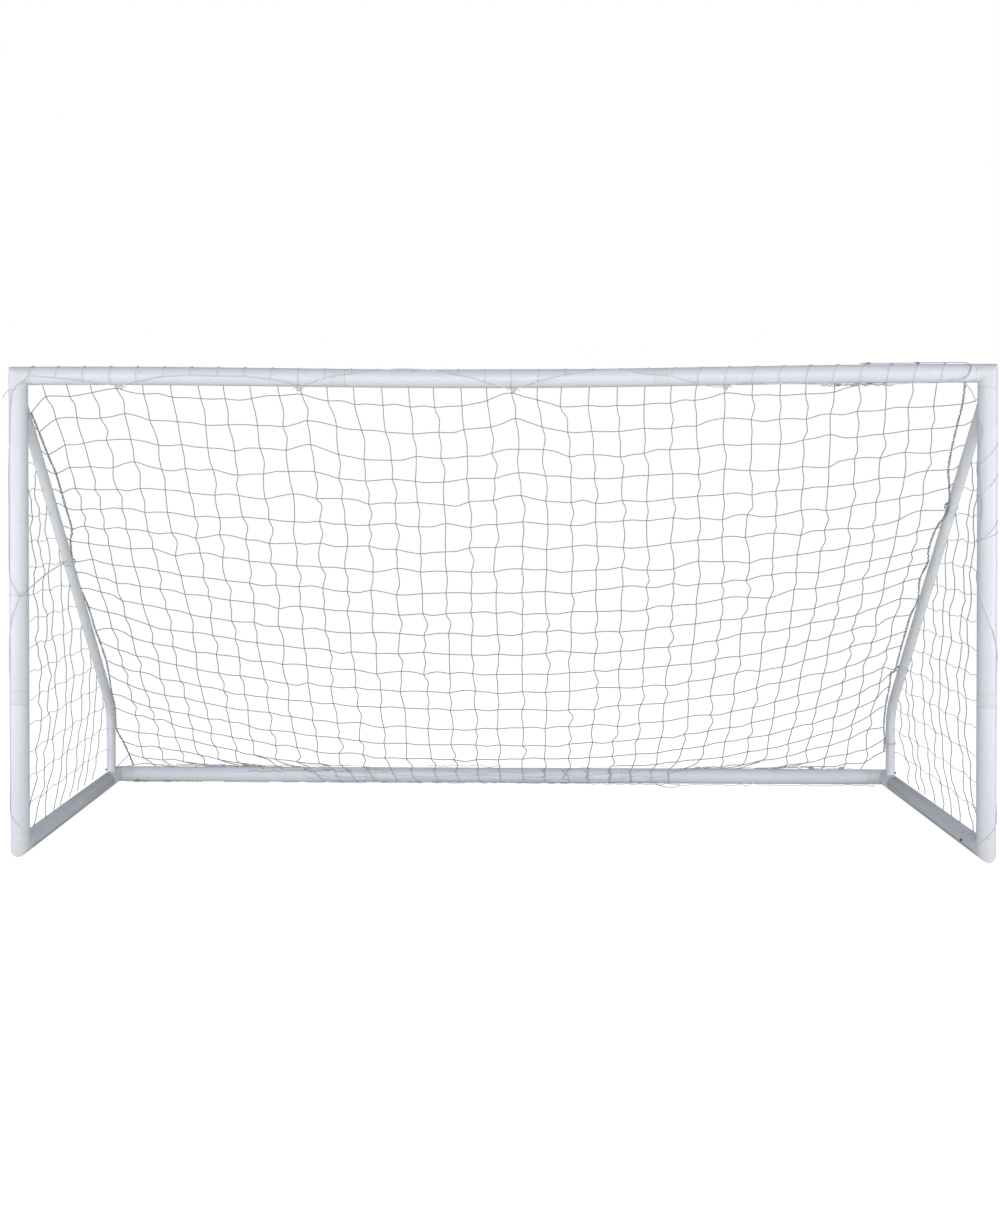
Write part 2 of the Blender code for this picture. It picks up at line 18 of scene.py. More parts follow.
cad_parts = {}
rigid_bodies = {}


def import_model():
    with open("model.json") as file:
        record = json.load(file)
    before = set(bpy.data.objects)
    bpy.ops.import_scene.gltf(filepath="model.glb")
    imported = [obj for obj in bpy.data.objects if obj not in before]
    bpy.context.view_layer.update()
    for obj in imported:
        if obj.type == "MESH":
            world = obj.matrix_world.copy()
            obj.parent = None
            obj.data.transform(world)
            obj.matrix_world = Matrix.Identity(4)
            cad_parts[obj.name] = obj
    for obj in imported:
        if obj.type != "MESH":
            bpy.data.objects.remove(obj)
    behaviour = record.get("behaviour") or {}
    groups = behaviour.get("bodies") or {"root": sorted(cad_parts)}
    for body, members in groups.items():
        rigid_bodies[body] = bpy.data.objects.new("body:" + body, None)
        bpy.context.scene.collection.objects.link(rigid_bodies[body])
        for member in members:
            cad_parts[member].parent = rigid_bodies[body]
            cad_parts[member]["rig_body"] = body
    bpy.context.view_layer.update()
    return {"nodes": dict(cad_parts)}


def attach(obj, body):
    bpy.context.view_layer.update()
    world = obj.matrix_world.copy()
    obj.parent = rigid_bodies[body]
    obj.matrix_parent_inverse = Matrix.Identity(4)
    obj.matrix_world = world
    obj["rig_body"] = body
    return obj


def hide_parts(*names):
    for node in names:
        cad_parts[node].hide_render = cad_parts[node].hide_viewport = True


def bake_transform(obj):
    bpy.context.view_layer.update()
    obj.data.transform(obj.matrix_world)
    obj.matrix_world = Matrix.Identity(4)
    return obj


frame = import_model()
NODES = frame["nodes"]

# %% [markdown]
# ## The camera
#
# The picture was taken from four and a half metres in front of the goal and half a
# metre above its middle. A camera can be aimed with a track-to rule, but a rule leaves
# the roll to chance. Here its place and its three turns are written out, as worked out
# from the tubes' vanishing lines. Two small shifts, sideways and up, bring the goal to
# the middle of the tall frame without turning the lens.

# %% Camera
PICTURE_WIDE = 1000
PICTURE_HIGH = 1222
FOCAL_PIXELS = 1195.62
VIEW_COLUMN = 468.50
HORIZON_ROW = 503.44
SENSOR = 36.0
CAMERA_PLACE = (-0.0177, -5.0131, 1.3618)
CAMERA_YAW = 0.0214
CAMERA_PITCH = -0.0098
CAMERA_ROLL = 0.0007


def turned(axis, angle):
    """The 3x3 matrix that turns by angle about X (0), Y (1) or Z (2)."""
    first, second = [(1, 2), (2, 0), (0, 1)][axis]
    made = np.eye(3)
    made[first, first] = made[second, second] = np.cos(angle)
    made[second, first] = np.sin(angle)
    made[first, second] = -np.sin(angle)
    return made


def add_camera(place, yaw, pitch, roll):
    """A camera at place that looks along +Y when its yaw, pitch and roll are zero."""
    data = bpy.data.cameras.new("camera")
    data.sensor_width = SENSOR
    data.lens = FOCAL_PIXELS / PICTURE_HIGH * SENSOR
    data.shift_x = (PICTURE_WIDE / 2 - VIEW_COLUMN) / PICTURE_HIGH
    data.shift_y = (HORIZON_ROW - PICTURE_HIGH / 2) / PICTURE_HIGH
    made = bpy.data.objects.new("camera", data)
    bpy.context.scene.collection.objects.link(made)
    right, forward, up = (turned(2, yaw) @ turned(0, pitch) @ turned(1, roll)).T
    matrix = np.eye(4)
    matrix[:3] = np.stack([right, up, -forward, np.array(place)], axis=1)
    made.matrix_world = Matrix(matrix)
    bpy.context.scene.camera = made
    return made


camera = add_camera(CAMERA_PLACE, CAMERA_YAW, CAMERA_PITCH, CAMERA_ROLL)
shifts = round(camera.data.shift_x, 4), round(camera.data.shift_y, 4)
print("lens", round(camera.data.lens, 2), "shifts", shifts)

# %% [markdown]
# ## Meshes from arrays
#
# Everything on this goal is round stock: tubes, elbows, buttons, ropes and twine. Each
# could be a bevelled curve, but a curve hides its points from the export and can't
# carry a moulding's steps. So each shape is a grid of points, rows along its length
# and columns round it, worked out by numpy as whole arrays. One helper turns any
# number of such grids into a mesh, with a map that unrolls the surface in metres.

# %% Grid to mesh
TAU = 2 * np.pi


def unit(vectors):
    """Each vector of the last axis divided by its length."""
    return vectors / np.linalg.norm(vectors, axis=-1, keepdims=True)


def at(*coordinates):
    """Points from their coordinates, of which a single number serves for all points."""
    return np.stack(np.broadcast_arrays(*coordinates), axis=-1).astype(float)


def grid_faces(bodies, rows, columns, ends_meet):
    """Four corners (i, j), (i, j+1), (i+1, j+1), (i+1, j) of each square, for every body."""
    last = rows if ends_meet else rows - 1
    body, i, j = np.meshgrid(range(bodies), range(last), range(columns), indexing="ij")
    here, there, after = i * columns, (i + 1) % rows * columns, (j + 1) % columns
    start = body * rows * columns
    corners = (here + j, here + after, there + after, there + j)
    return np.stack([start + corner for corner in corners], axis=-1).reshape(-1, 4)


def end_faces(bodies, rows, columns):
    """The flat polygon that closes the first and the last row of each body."""
    start = np.arange(bodies)[:, None] * rows * columns
    first = start + np.arange(columns)[::-1]
    last = start + (rows - 1) * columns + np.arange(columns)
    return np.concatenate([first, last])


def faces_out(grid, ends_meet):
    """True if the squares' normals point out: sum of a . (b x c) over the first body > 0."""
    rows, columns = grid.shape[1:3]
    quads = grid_faces(1, rows, columns, ends_meet)
    corners = (grid[0] - grid[0].mean((0, 1))).reshape(-1, 3)[quads]
    first = np.einsum("ij,ij->", corners[:, 0], np.cross(corners[:, 1], corners[:, 2]))
    second = np.einsum("ij,ij->", corners[:, 0], np.cross(corners[:, 2], corners[:, 3]))
    return first + second > 0


def add_mesh(name, points, faces, spans, smooth=None):
    """A mesh from points, faces of 4 corners, and two coordinates in metres per corner."""
    mesh = bpy.data.meshes.new(name)
    mesh.vertices.add(len(points))
    mesh.vertices.foreach_set("co", np.ascontiguousarray(points, np.float32).ravel())
    sizes = np.concatenate([np.full(len(block), block.shape[1]) for block in faces])
    loops = np.concatenate([block.ravel() for block in faces])
    mesh.loops.add(len(loops))
    mesh.loops.foreach_set("vertex_index", loops.astype(np.int32))
    mesh.polygons.add(len(sizes))
    mesh.polygons.foreach_set("loop_start", np.r_[0, np.cumsum(sizes)[:-1]].astype(np.int32))
    mesh.update(calc_edges=True)
    unrolled = mesh.uv_layers.new(name="unrolled")
    unrolled.data.foreach_set("uv", spans.astype(np.float32).ravel())
    mesh.validate()
    mesh.shade_smooth()
    if smooth is not None:
        mesh.set_sharp_from_angle(angle=smooth)
    obj = bpy.data.objects.new(name, mesh)
    bpy.context.scene.collection.objects.link(obj)
    return obj


def corner_spans(grid, quads):
    """(distance round, distance along) at each square's corners, for the map."""
    bodies, rows, columns = grid.shape[:3]
    along = np.linalg.norm(np.diff(grid.mean(2), axis=1), axis=-1)
    along = np.concatenate([np.zeros((bodies, 1)), np.cumsum(along, axis=1)], axis=1)
    place = quads % (rows * columns)
    body = quads // (rows * columns)
    row, column = place // columns, place % columns
    column = np.where((column == 0) & (np.arange(4) % 3 != 0), columns, column)
    radius = np.linalg.norm(grid - grid.mean(2, keepdims=True), axis=-1).mean()
    return np.stack([column * TAU * radius / columns, along[body, row]], axis=-1)


def add_grids(name, grid, ends_meet=False, sharp=None):
    """An object from grids shaped (bodies, rows, columns, 3): closed round, capped or looped."""
    bodies, rows, columns = grid.shape[:3]
    quads = grid_faces(bodies, rows, columns, ends_meet)
    spans = corner_spans(grid, quads)
    blocks = [quads]
    maps = [spans.reshape(-1, 2)]
    if not ends_meet:
        caps = end_faces(bodies, rows, columns)
        blocks.append(caps)
        maps.append(np.zeros((caps.size, 2)))
    if not faces_out(grid, ends_meet):
        blocks = [block[:, ::-1] for block in blocks]
        maps[0] = spans[:, ::-1].reshape(-1, 2)
    return add_mesh(name, grid.reshape(-1, 3), blocks, np.concatenate(maps), sharp)


def stand_for(obj, node):
    """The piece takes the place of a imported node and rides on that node's body."""
    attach(obj, NODES[node]["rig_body"])
    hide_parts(node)
    return obj


# %% [markdown]
# ## The goal's own measures
#
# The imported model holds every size, but as meshes. The tubes' axes are all that the
# dressed pieces need, so they are written down once more here, in metres, from the
# same overall size: 3.66 m wide, 1.83 m high and 1.22 m deep, of 68 mm tube.

# %% Sizes and axes
TUBE_R = 0.034
TUBE_WALL = 0.003
BORE_R = TUBE_R - TUBE_WALL
AXIS_X = 3.66 / 2 - TUBE_R
AXIS_TOP = 1.83 - TUBE_R
REAR_Y = 0.5771
POST_Y = REAR_Y - 1.22 + 2 * TUBE_R
LEG_Y = POST_Y + 1.067
ELBOW_ARM = 0.054
SPIGOT = 0.105
SPIGOT_WALL = 0.003
FIT = 0.0003
SPIGOT_R = BORE_R - FIT
SPIGOT_BORE = SPIGOT_R - SPIGOT_WALL
REAR_ARM_ACROSS = 0.080
REAR_ARM_FORWARD = 0.140
COLLAR = 0.050
COUPLER_X = 0.595
POST_COUPLER_Z = 0.594
CROSSBAR_SAG = 0.016
STANCHION_R = 0.020
SIDES = {"left": -1, "right": 1}
X, Y, Z = np.eye(3)


def sag(x):
    """How far the crossbar hangs at x: (1 + cos(pi x / level)) / 2 of its full sag."""
    level = AXIS_X - ELBOW_ARM - SPIGOT
    return CROSSBAR_SAG * (1 + np.cos(np.pi * np.minimum(1, abs(x) / level))) / 2


def crossbar_axis(x):
    """Points (x, POST_Y, AXIS_TOP - sag(x)) on the crossbar's axis."""
    return at(x, POST_Y, AXIS_TOP - sag(x))


def rear_axis(x):
    """Points on the rear bar's axis."""
    return at(x, REAR_Y, TUBE_R)


print("posts at", round(POST_Y, 4), "rear bar at", REAR_Y)

# %% [markdown]
# ## Tubes, couplers and elbows
#
# The tube is extruded, sawn to length and its edges broken with a file, so each end
# has a tiny round that shows as a fine dark line where two pieces meet. A cylinder
# with a bevel would do for the straight ones, but the crossbar sags and the elbows
# turn. So a wall profile, a row of (distance along, radius) pairs that runs up the
# outside and back down the bore, is carried along each axis.

# %% Carried profiles
ROUND_SIDES = 64
EDGE = 0.0011
EDGE_STEPS = 4
CHAMFER = 0.002
AXIS_STEP = 0.001
SHARP = np.radians(50)


def square_to(along, reference):
    """u, the reference made square to each direction, and v = along x u."""
    u = unit(reference - (along * reference).sum(-1, keepdims=True) * along)
    return u, np.cross(along, u)


def rings(centres, along, reference, radii, sides=ROUND_SIDES):
    """centre + radius (u cos a + v sin a), with u and v square to the way along."""
    along = unit(np.broadcast_to(along, centres.shape))
    u, v = square_to(along, np.broadcast_to(reference, centres.shape))
    a = TAU * np.arange(sides)[:, None] / sides
    spread = u[..., None, :] * np.cos(a) + v[..., None, :] * np.sin(a)
    radii = np.broadcast_to(radii, centres.shape[:-1])[..., None, None]
    return centres[..., None, :] + radii * spread


def broken_edge(end, inwards, radius):
    """A quarter round of (distance, radius) pairs, from the full radius to the end face."""
    turn = np.pi / 2 * np.arange(EDGE_STEPS + 1) / EDGE_STEPS
    return at(end + inwards * EDGE * (1 - np.sin(turn)), radius - EDGE * (1 - np.cos(turn)))


def collar_profile(start, end, radius):
    """Up the outside from start to end with both edges broken."""
    return [*broken_edge(start, 1, radius)[::-1], *broken_edge(end, -1, radius)]


def tube_profile(start, end, body_steps):
    """The tube's outside with points along it, then back down the bore."""
    middle = at(np.linspace(start, end, body_steps + 2)[1:-1], TUBE_R)
    outside = collar_profile(start, end, TUBE_R)
    half = len(outside) // 2
    return np.array([*outside[:half], *middle, *outside[half:], (end, BORE_R), (start, BORE_R)])


def carry(profile, axis, reference, sides=ROUND_SIDES):
    """The profile's rings on an axis: a function from distances to points."""
    distance, radius = profile.T
    along = axis(distance + AXIS_STEP) - axis(distance - AXIS_STEP)
    return rings(axis(distance), along, reference, radius, sides)[None]


def hollow(name, grid):
    """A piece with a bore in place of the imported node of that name."""
    return stand_for(add_grids(name + "_round", grid, True, SHARP), name)


# %% Straight tubes and couplers
GAP = 0.0003
NEAR = COUPLER_X - COLLAR / 2 - GAP
FAR = COUPLER_X + COLLAR / 2 + GAP
SAG_STEPS = 24


def tube_between(name, axis, start, end, reference, body_steps=1):
    """A sawn length of main tube."""
    return hollow(name, carry(tube_profile(start, end, body_steps), axis, reference))


def coupler(name, axis, middle, reference):
    """The collar with a chamfered spigot to each side, and the bore through both."""
    start, end = middle - COLLAR / 2, middle + COLLAR / 2
    low, high = start - SPIGOT, end + SPIGOT
    profile = np.array([
        (low, SPIGOT_R - CHAMFER), (low + CHAMFER, SPIGOT_R), (start, SPIGOT_R),
        *collar_profile(start, end, TUBE_R),
        (end, SPIGOT_R), (high - CHAMFER, SPIGOT_R), (high, SPIGOT_R - CHAMFER),
        (high, SPIGOT_BORE), (low, SPIGOT_BORE),
    ])
    return hollow(name, carry(profile, axis, reference))


bars = (
    ("crossbar", crossbar_axis, AXIS_X - ELBOW_ARM - GAP),
    ("rear_bar", rear_axis, AXIS_X - REAR_ARM_ACROSS - GAP),
)
tubes = []
fittings = []
for bar, axis, end in bars:
    for part, start, stop in (("left", -end, -FAR), ("centre", -NEAR, NEAR), ("right", FAR, end)):
        tubes.append(tube_between(f"{bar}_{part}", axis, start, stop, Y, SAG_STEPS))
    for side, sign in SIDES.items():
        fittings.append(coupler(f"{bar}_coupler_{side}", axis, sign * COUPLER_X, Y))
print(len(tubes), "tubes and", len(fittings), "couplers across")

# %% [markdown]
# An elbow is moulded in two straight arms that meet in a mitre. Each generator of the
# first arm runs into the mitre point c + r (u cos a - (f + s) sin a), turns there and
# runs out along the second arm. A mould never has a knife edge, so the turn is a short
# curve with the mitre point as its middle handle.

# %% Elbows
MITRE_ROUND = 0.005
MITRE_STEPS = 5


def elbow_grid(corner, first, second, arms):
    """Rings up the first arm, through the rounded mitre, out along the second, and back inside."""
    across = np.cross(first, second)
    a = TAU * np.arange(ROUND_SIDES)[:, None] / ROUND_SIDES
    corner = np.array(corner)

    def mitre(radius):
        return corner + radius * (across * np.cos(a) - (first + second) * np.sin(a))

    def ring_at(along, other, distance, radius):
        return corner + along * distance + radius * (across * np.cos(a) - other * np.sin(a))

    outside = []
    for along, other, arm in ((first, second, arms[0]), (second, first, arms[1])):
        tip = arm + SPIGOT
        steps = [(tip, SPIGOT_R - CHAMFER), (tip - CHAMFER, SPIGOT_R), (arm, SPIGOT_R)]
        steps += list(broken_edge(arm, -1, TUBE_R)[::-1])
        outside.append([ring_at(along, other, d, r) for d, r in steps])
    s = np.linspace(0, 1, MITRE_STEPS)[:, None, None]
    edge = mitre(TUBE_R)
    bend = (1 - s) ** 2 * (edge + first * MITRE_ROUND) + 2 * s * (1 - s) * edge
    bend = bend + s**2 * (edge + second * MITRE_ROUND)
    inside = [ring_at(second, first, arms[1] + SPIGOT, SPIGOT_BORE), mitre(SPIGOT_BORE)]
    inside.append(ring_at(first, second, arms[0] + SPIGOT, SPIGOT_BORE))
    return np.stack(outside[0] + list(bend) + outside[1][::-1] + inside)[None]


def elbow(name, corner, first, second, arms=(ELBOW_ARM, ELBOW_ARM)):
    return hollow(name, elbow_grid(corner, first, second, arms))


base = TUBE_R + ELBOW_ARM + GAP
below = POST_COUPLER_Z - COLLAR / 2 - GAP
above = POST_COUPLER_Z + COLLAR / 2 + GAP
head = AXIS_TOP - ELBOW_ARM - GAP
front_end, rear_end = POST_Y + ELBOW_ARM + GAP, REAR_Y - REAR_ARM_FORWARD - GAP
rear_arms = (REAR_ARM_FORWARD, REAR_ARM_ACROSS)
for side, sign in SIDES.items():
    x = sign * AXIS_X
    post_axis = lambda z, x=x: at(x, POST_Y, z)
    bar_axis = lambda y, x=x: at(x, y, TUBE_R)
    tubes.append(tube_between(f"post_lower_{side}", post_axis, base, below, Y))
    tubes.append(tube_between(f"post_upper_{side}", post_axis, above, head, Y))
    tubes.append(tube_between(f"side_bar_{side}", bar_axis, front_end, rear_end, X))
    fittings.append(coupler(f"post_coupler_{side}", post_axis, POST_COUPLER_Z, Y))
    fittings.append(elbow(f"top_elbow_{side}", (x, POST_Y, AXIS_TOP), -Z, -sign * X))
    fittings.append(elbow(f"base_elbow_{side}", (x, POST_Y, TUBE_R), Z, Y))
    corner = (x, REAR_Y, TUBE_R)
    fittings.append(elbow(f"rear_fitting_{side}", corner, -Y, -sign * X, rear_arms))
print(len(tubes), "tubes and", len(fittings), "fittings in all")

# %% [markdown]
# ## Stanchions
#
# Each rear stanchion is a thinner tube that slopes from a hole in the post's back
# wall, bends at a knee and slips into a short upright leg. The leg's foot is coped, so
# that it sits on the round ground bar without a gap. The bend keeps its radius, so the
# axis is a straight, an arc and a straight, joined where they touch.

# %% Stanchions and legs
STANCHION_WALL = 0.002
STANCHION_TOP_Z = AXIS_TOP - 0.057
KNEE_Z = 0.358
KNEE_R = 0.250
KNEE_STEPS = 16
LEG_TOP = 0.266
NECK = 0.050
STUB_TOP = 0.165
STUB_SUNK = 0.003
LEG_BORE = STANCHION_R - STANCHION_WALL
STUB_R = LEG_BORE - FIT
STUB_BORE = STUB_R - SPIGOT_WALL
INSET = 0.004

slope = unit(np.array([0.0, LEG_Y - POST_Y, KNEE_Z - STANCHION_TOP_Z]))
KNEE_TURN = np.arctan2(slope[1], -slope[2])
KNEE_TANGENT = KNEE_R * np.tan(KNEE_TURN / 2)
START_Y, START_Z = np.array([POST_Y, STANCHION_TOP_Z]) + slope[1:] * INSET / slope[1]
SLOPE_LENGTH = np.hypot(LEG_Y - START_Y, START_Z - KNEE_Z) - KNEE_TANGENT
ARC_LENGTH = KNEE_R * KNEE_TURN
ARC_BOTTOM = KNEE_Z - KNEE_TANGENT


def stanchion_axis(distance):
    """Points down the stanchion: a straight, an arc of KNEE_R, and a straight down."""
    d = np.asarray(distance, float)
    angle = KNEE_TURN - np.clip(d - SLOPE_LENGTH, 0, ARC_LENGTH) / KNEE_R
    arc_y = LEG_Y - KNEE_R * (1 - np.cos(angle))
    arc_z = ARC_BOTTOM + KNEE_R * np.sin(angle)
    before = np.minimum(d - SLOPE_LENGTH, 0)
    after = np.maximum(d - SLOPE_LENGTH - ARC_LENGTH, 0)
    return at(0, arc_y + slope[1] * before, arc_z + slope[2] * before - after)


STANCHION_LENGTH = SLOPE_LENGTH + ARC_LENGTH + ARC_BOTTOM - LEG_TOP


def stanchion_profile():
    """The outside, the neck that goes into the leg, and the bore back up."""
    bend = SLOPE_LENGTH + ARC_LENGTH * np.arange(1, KNEE_STEPS + 1) / KNEE_STEPS
    run = np.r_[0, SLOPE_LENGTH, bend]
    end, tip = STANCHION_LENGTH, STANCHION_LENGTH + NECK
    neck_bore = STUB_R - STANCHION_WALL
    neck = [(end, STUB_R), (tip, STUB_R), (tip, neck_bore), (end, neck_bore)]
    edge = broken_edge(end, -1, STANCHION_R)
    return np.concatenate([at(run, STANCHION_R), edge, neck, at(run, LEG_BORE)[::-1]])


def leg_grid(x):
    """A sleeve whose foot rings are cut to the round bar: z = R + sqrt((R+g)^2 - (r cos a)^2)."""
    top, foot = LEG_TOP - GAP, 2 * TUBE_R
    edge = broken_edge(top, -1, STANCHION_R)[::-1]
    height, radius = np.array([*edge, (foot, STANCHION_R), (foot, LEG_BORE), (top, LEG_BORE)]).T
    grid = rings(at(x, LEG_Y, height), Z, X, radius)
    cope = TUBE_R + np.sqrt((TUBE_R + GAP) ** 2 - (grid[..., 0] - x) ** 2)
    grid[..., 2] = np.where(height[:, None] == foot, cope, grid[..., 2])
    return grid[None]


rim = TUBE_R + np.sqrt(TUBE_R**2 - STUB_R**2) - STUB_SUNK
stub = np.array([
    (rim, STUB_R), (STUB_TOP - CHAMFER, STUB_R), (STUB_TOP, STUB_R - CHAMFER),
    (STUB_TOP, STUB_BORE), (rim, STUB_BORE),
])
for side, sign in SIDES.items():
    x = sign * AXIS_X
    axis = lambda d, x=x: stanchion_axis(d) + x * X
    tubes.append(hollow(f"stanchion_{side}", carry(stanchion_profile(), axis, X)))
    tubes.append(hollow(f"stanchion_leg_{side}", leg_grid(x)))
    leg_axis = lambda z, x=x: at(x, LEG_Y, z)
    obj = add_grids(f"rear_fitting_stub_{side}", carry(stub, leg_axis, X), True, SHARP)
    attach(obj, "frame")
    fittings.append(obj)
bend_degrees = round(np.degrees(KNEE_TURN))
print("stanchion", round(STANCHION_LENGTH, 3), "m long, knee of", bend_degrees, "degrees")

# %% [markdown]
# ## Snap buttons
#
# A joint is locked by a black button that a V spring pushes out through both walls. It
# is a turned form: a flange that stops it inside, a shaft and a domed head. The springs
# hide inside the tubes, so each is a copy of the imported one.

# %% Snap buttons
SNAP_R = 0.0045
SNAP_PROUD = 0.0065
FLANGE_R = 0.0056
FLANGE = 0.0015
FLANGE_DROP = 0.0012
FLANGE_EDGE = 0.0003
DOME_END = 84
BUTTON_SIDES = 32
SAME_POINT = 0.00001
FOOT_SNAP_Z = 0.0745
SIDE_SNAP_Y = POST_Y + 0.143
FOOT_TURN = np.radians(22.5)


def button_grid(spot, out, bore, outer):
    """Flange, shaft and elliptical dome: radius R cos t at height top - R/2 (1 - sin t)."""
    seat, head = bore - FLANGE_DROP, outer + SNAP_PROUD
    foot = seat - FLANGE
    t = np.radians(np.linspace(0, DOME_END, 7))
    dome = at(head - SNAP_R / 2 * (1 - np.sin(t)), SNAP_R * np.cos(t))
    flange = [(foot, FLANGE_R - FLANGE_EDGE), (foot, FLANGE_R), (seat, FLANGE_R), (seat, SNAP_R)]
    axis = lambda d: np.array(spot) + np.multiply.outer(d, out)
    reference = Z if abs(out[2]) < 0.5 else X
    return carry(np.concatenate([flange, dome]), axis, reference, BUTTON_SIDES)


def bending_spring(snap):
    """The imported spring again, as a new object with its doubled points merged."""
    mesh = NODES[snap + "_spring"].data.copy()
    form = bmesh.new()
    form.from_mesh(mesh)
    bmesh.ops.remove_doubles(form, verts=form.verts, dist=SAME_POINT)
    form.to_mesh(mesh)
    form.free()
    mesh.shade_smooth()
    mesh.set_sharp_from_angle(angle=SHARP)
    strip = bpy.data.objects.new(snap + "_spring_strip", mesh)
    bpy.context.scene.collection.objects.link(strip)
    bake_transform(strip)
    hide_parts(snap + "_spring")
    return strip


buttons = []
springs = []
for side, sign in SIDES.items():
    outwards = sign * np.cos(FOOT_TURN) * X - np.sin(FOOT_TURN) * Y
    side_spot = (sign * AXIS_X, SIDE_SNAP_Y, TUBE_R)
    foot_spot = (sign * AXIS_X, LEG_Y, FOOT_SNAP_Z)
    for snap, spot, out, bore, outer in (
        (f"side_snap_{side}", side_spot, -X, SPIGOT_BORE, TUBE_R),
        (f"foot_snap_{side}", foot_spot, outwards, STUB_BORE, STANCHION_R),
    ):
        obj = add_grids(snap + "_button", button_grid(spot, out, bore, outer), False, SHARP)
        buttons.append(stand_for(obj, snap))
        springs.append(bending_spring(snap))
print(len(buttons), "buttons and", len(springs), "springs")

# %% [markdown]
# ## The net
#
# The net is white knotted twine with square meshes of 100 mm. It hangs from the
# crossbar in a deep belly, so that its foot lies nearly flat before it meets the rear
# bar. A cloth simulation would find a belly of its own, but not this one. So the belly
# is a formula: straight lines from bar to bar that sag as a parabola, drawn to the
# stanchions towards the sides. Each knot then has a place (u, t) on it, u across from
# -1 to 1 and t down from 0 to 1. How the meshes have slipped and stretched is written
# as a short series of waves in the knot's column and row, as measured on the real net.

# %% The belly
NET_SAG = 0.30
NET_PULL = 4
TOP_SPAN = 1.700
FOOT_SPAN = 1.742
TWINE_R = 0.0017
CORD_SEAT = TUBE_R + TWINE_R
BAR_BACK = np.radians(160)
FOOT_TOP = np.radians(118)
EDGE_INSET = 0.026
SIDE_TOP = 1.600
FITTING_TOP = 2 * TUBE_R


def round_bar(axis_points, angle, radius):
    """Points round a bar along X: angle 0 faces the front, a quarter turn faces up."""
    angle = np.asarray(angle)[..., None]
    return axis_points + radius * (-Y * np.cos(angle) + Z * np.sin(angle))


def belly(u, t):
    """(1 - w) (lerp(top, foot, t) - 4 sag t (1 - t) Z) + w stanchion(t), with w = |u|^4."""
    top = round_bar(crossbar_axis(u * TOP_SPAN), BAR_BACK + 0 * u, CORD_SEAT)
    foot = round_bar(rear_axis(u * FOOT_SPAN), FOOT_TOP + 0 * u, CORD_SEAT)
    t = np.asarray(t, float)[..., None]
    hung = top * (1 - t) + foot * t - Z * NET_SAG * 4 * t * (1 - t)
    first = (STANCHION_TOP_Z - SIDE_TOP) / -slope[2]
    last = STANCHION_LENGTH + LEG_TOP - FITTING_TOP
    tied = stanchion_axis(first + (last - first) * np.clip(t[..., 0], 0, 1)) + Y * EDGE_INSET
    tied = tied + X * (np.sign(u) * (AXIS_X - EDGE_INSET))[..., None]
    pull = (np.abs(u) ** NET_PULL)[..., None]
    return hung * (1 - pull) + tied * pull


# %% Where the knots lie
NET_COLUMNS = 37
NET_ROWS = 22
ACROSS = np.array([
    [-45, 133, -61, 27, -13, 8],
    [9455, -15, 26, -1, -6, -41],
    [50, 101, 42, 54, 19, 12],
    [-175, -75, -10, -16, -16, -18],
    [-13, 6, -26, -3, -18, 3],
    [172, 63, 16, 12, 13, -4],
]) / 10000
DOWN = np.array([
    [5097, 5689, 901, 257, 33, -23],
    [-180, -162, 26, -16, 50, -15],
    [-774, -901, -777, -379, -193, -72],
    [19, 88, 111, 55, 80, 28],
    [226, 422, 216, 122, 48, 10],
    [-36, -51, -24, -23, 19, 16],
]) / 10000
TIED_COLUMNS = np.array([4, 11, 19, 27])
TIED_UP = np.array([0.018, 0.022, 0.033, 0.016])
FIRST_ROW = np.array([
    [0, 35, 0], [1, 14, -17], [2, 7, -5], [4, 1, 5], [5, 2, 3],
    [8, 3, -2], [10, 4, -2], [11, -3, 7], [12, -3, 2], [14, 3, -2],
    [18, 8, 1], [19, 2, 10], [20, 2, 0], [21, -8, 1], [22, -2, -3],
    [24, 1, -3], [27, 1, 2], [28, 1, -2], [31, 4, -6], [32, 0, -14],
    [34, 2, -26], [36, 1, -39],
]) / [1, 1000, 1000]
FIRST_REACH = 0.6
TIED_ROWS = 3.0
TIED_WIDTH = 1.2
chance = np.random.default_rng(7)


def series(table, column, row):
    """Sum of table[i, j] T_i(column) T_j(row), T_n(x) = cos(n arccos x), on -1 to 1."""
    across, down = 2 * column / (NET_COLUMNS - 1) - 1, 2 * row / (NET_ROWS - 1) - 1
    return np.polynomial.chebyshev.chebval2d(across, down, table)


row, column = np.meshgrid(np.arange(NET_ROWS), np.arange(NET_COLUMNS), indexing="ij")
u = series(ACROSS, column, row)
t = series(DOWN, column, row)
for tied_column, lift in zip(TIED_COLUMNS, TIED_UP):
    t = t - lift * np.exp(-row / TIED_ROWS - abs(column - tied_column) / TIED_WIDTH)
from_bar = np.exp(-row / FIRST_REACH)
u = u + np.interp(column, FIRST_ROW[:, 0], FIRST_ROW[:, 1]) * from_bar
t = t + np.interp(column, FIRST_ROW[:, 0], FIRST_ROW[:, 2]) * from_bar
u = u + chance.normal(0, 0.0022, u.shape)
t = t + chance.normal(0, 0.0028, t.shape) * np.minimum(1, row / 2)
print("knots", u.shape, "middle column down", np.round(t[::3, 18], 2))

# %% [markdown]
# Where a column passes the foot of the belly, what is left of it is wound round the
# rear bar: over its front in the middle, and over its back near the sides. The two
# edges of the panel run down doubled cords that follow the stanchions.

# %% Knots on the belly, round the rear bar and at the two edges
FRONT_FIRST, FRONT_LAST = 8.5, 26.5
WOUND = np.radians(200)


def wound_angle(past, front):
    """The angle round the rear bar: forward from its top front, or back from its top."""
    forward = np.radians(48) - WOUND * past
    backward = np.radians(100) + WOUND * past
    return np.where(front, forward, backward)


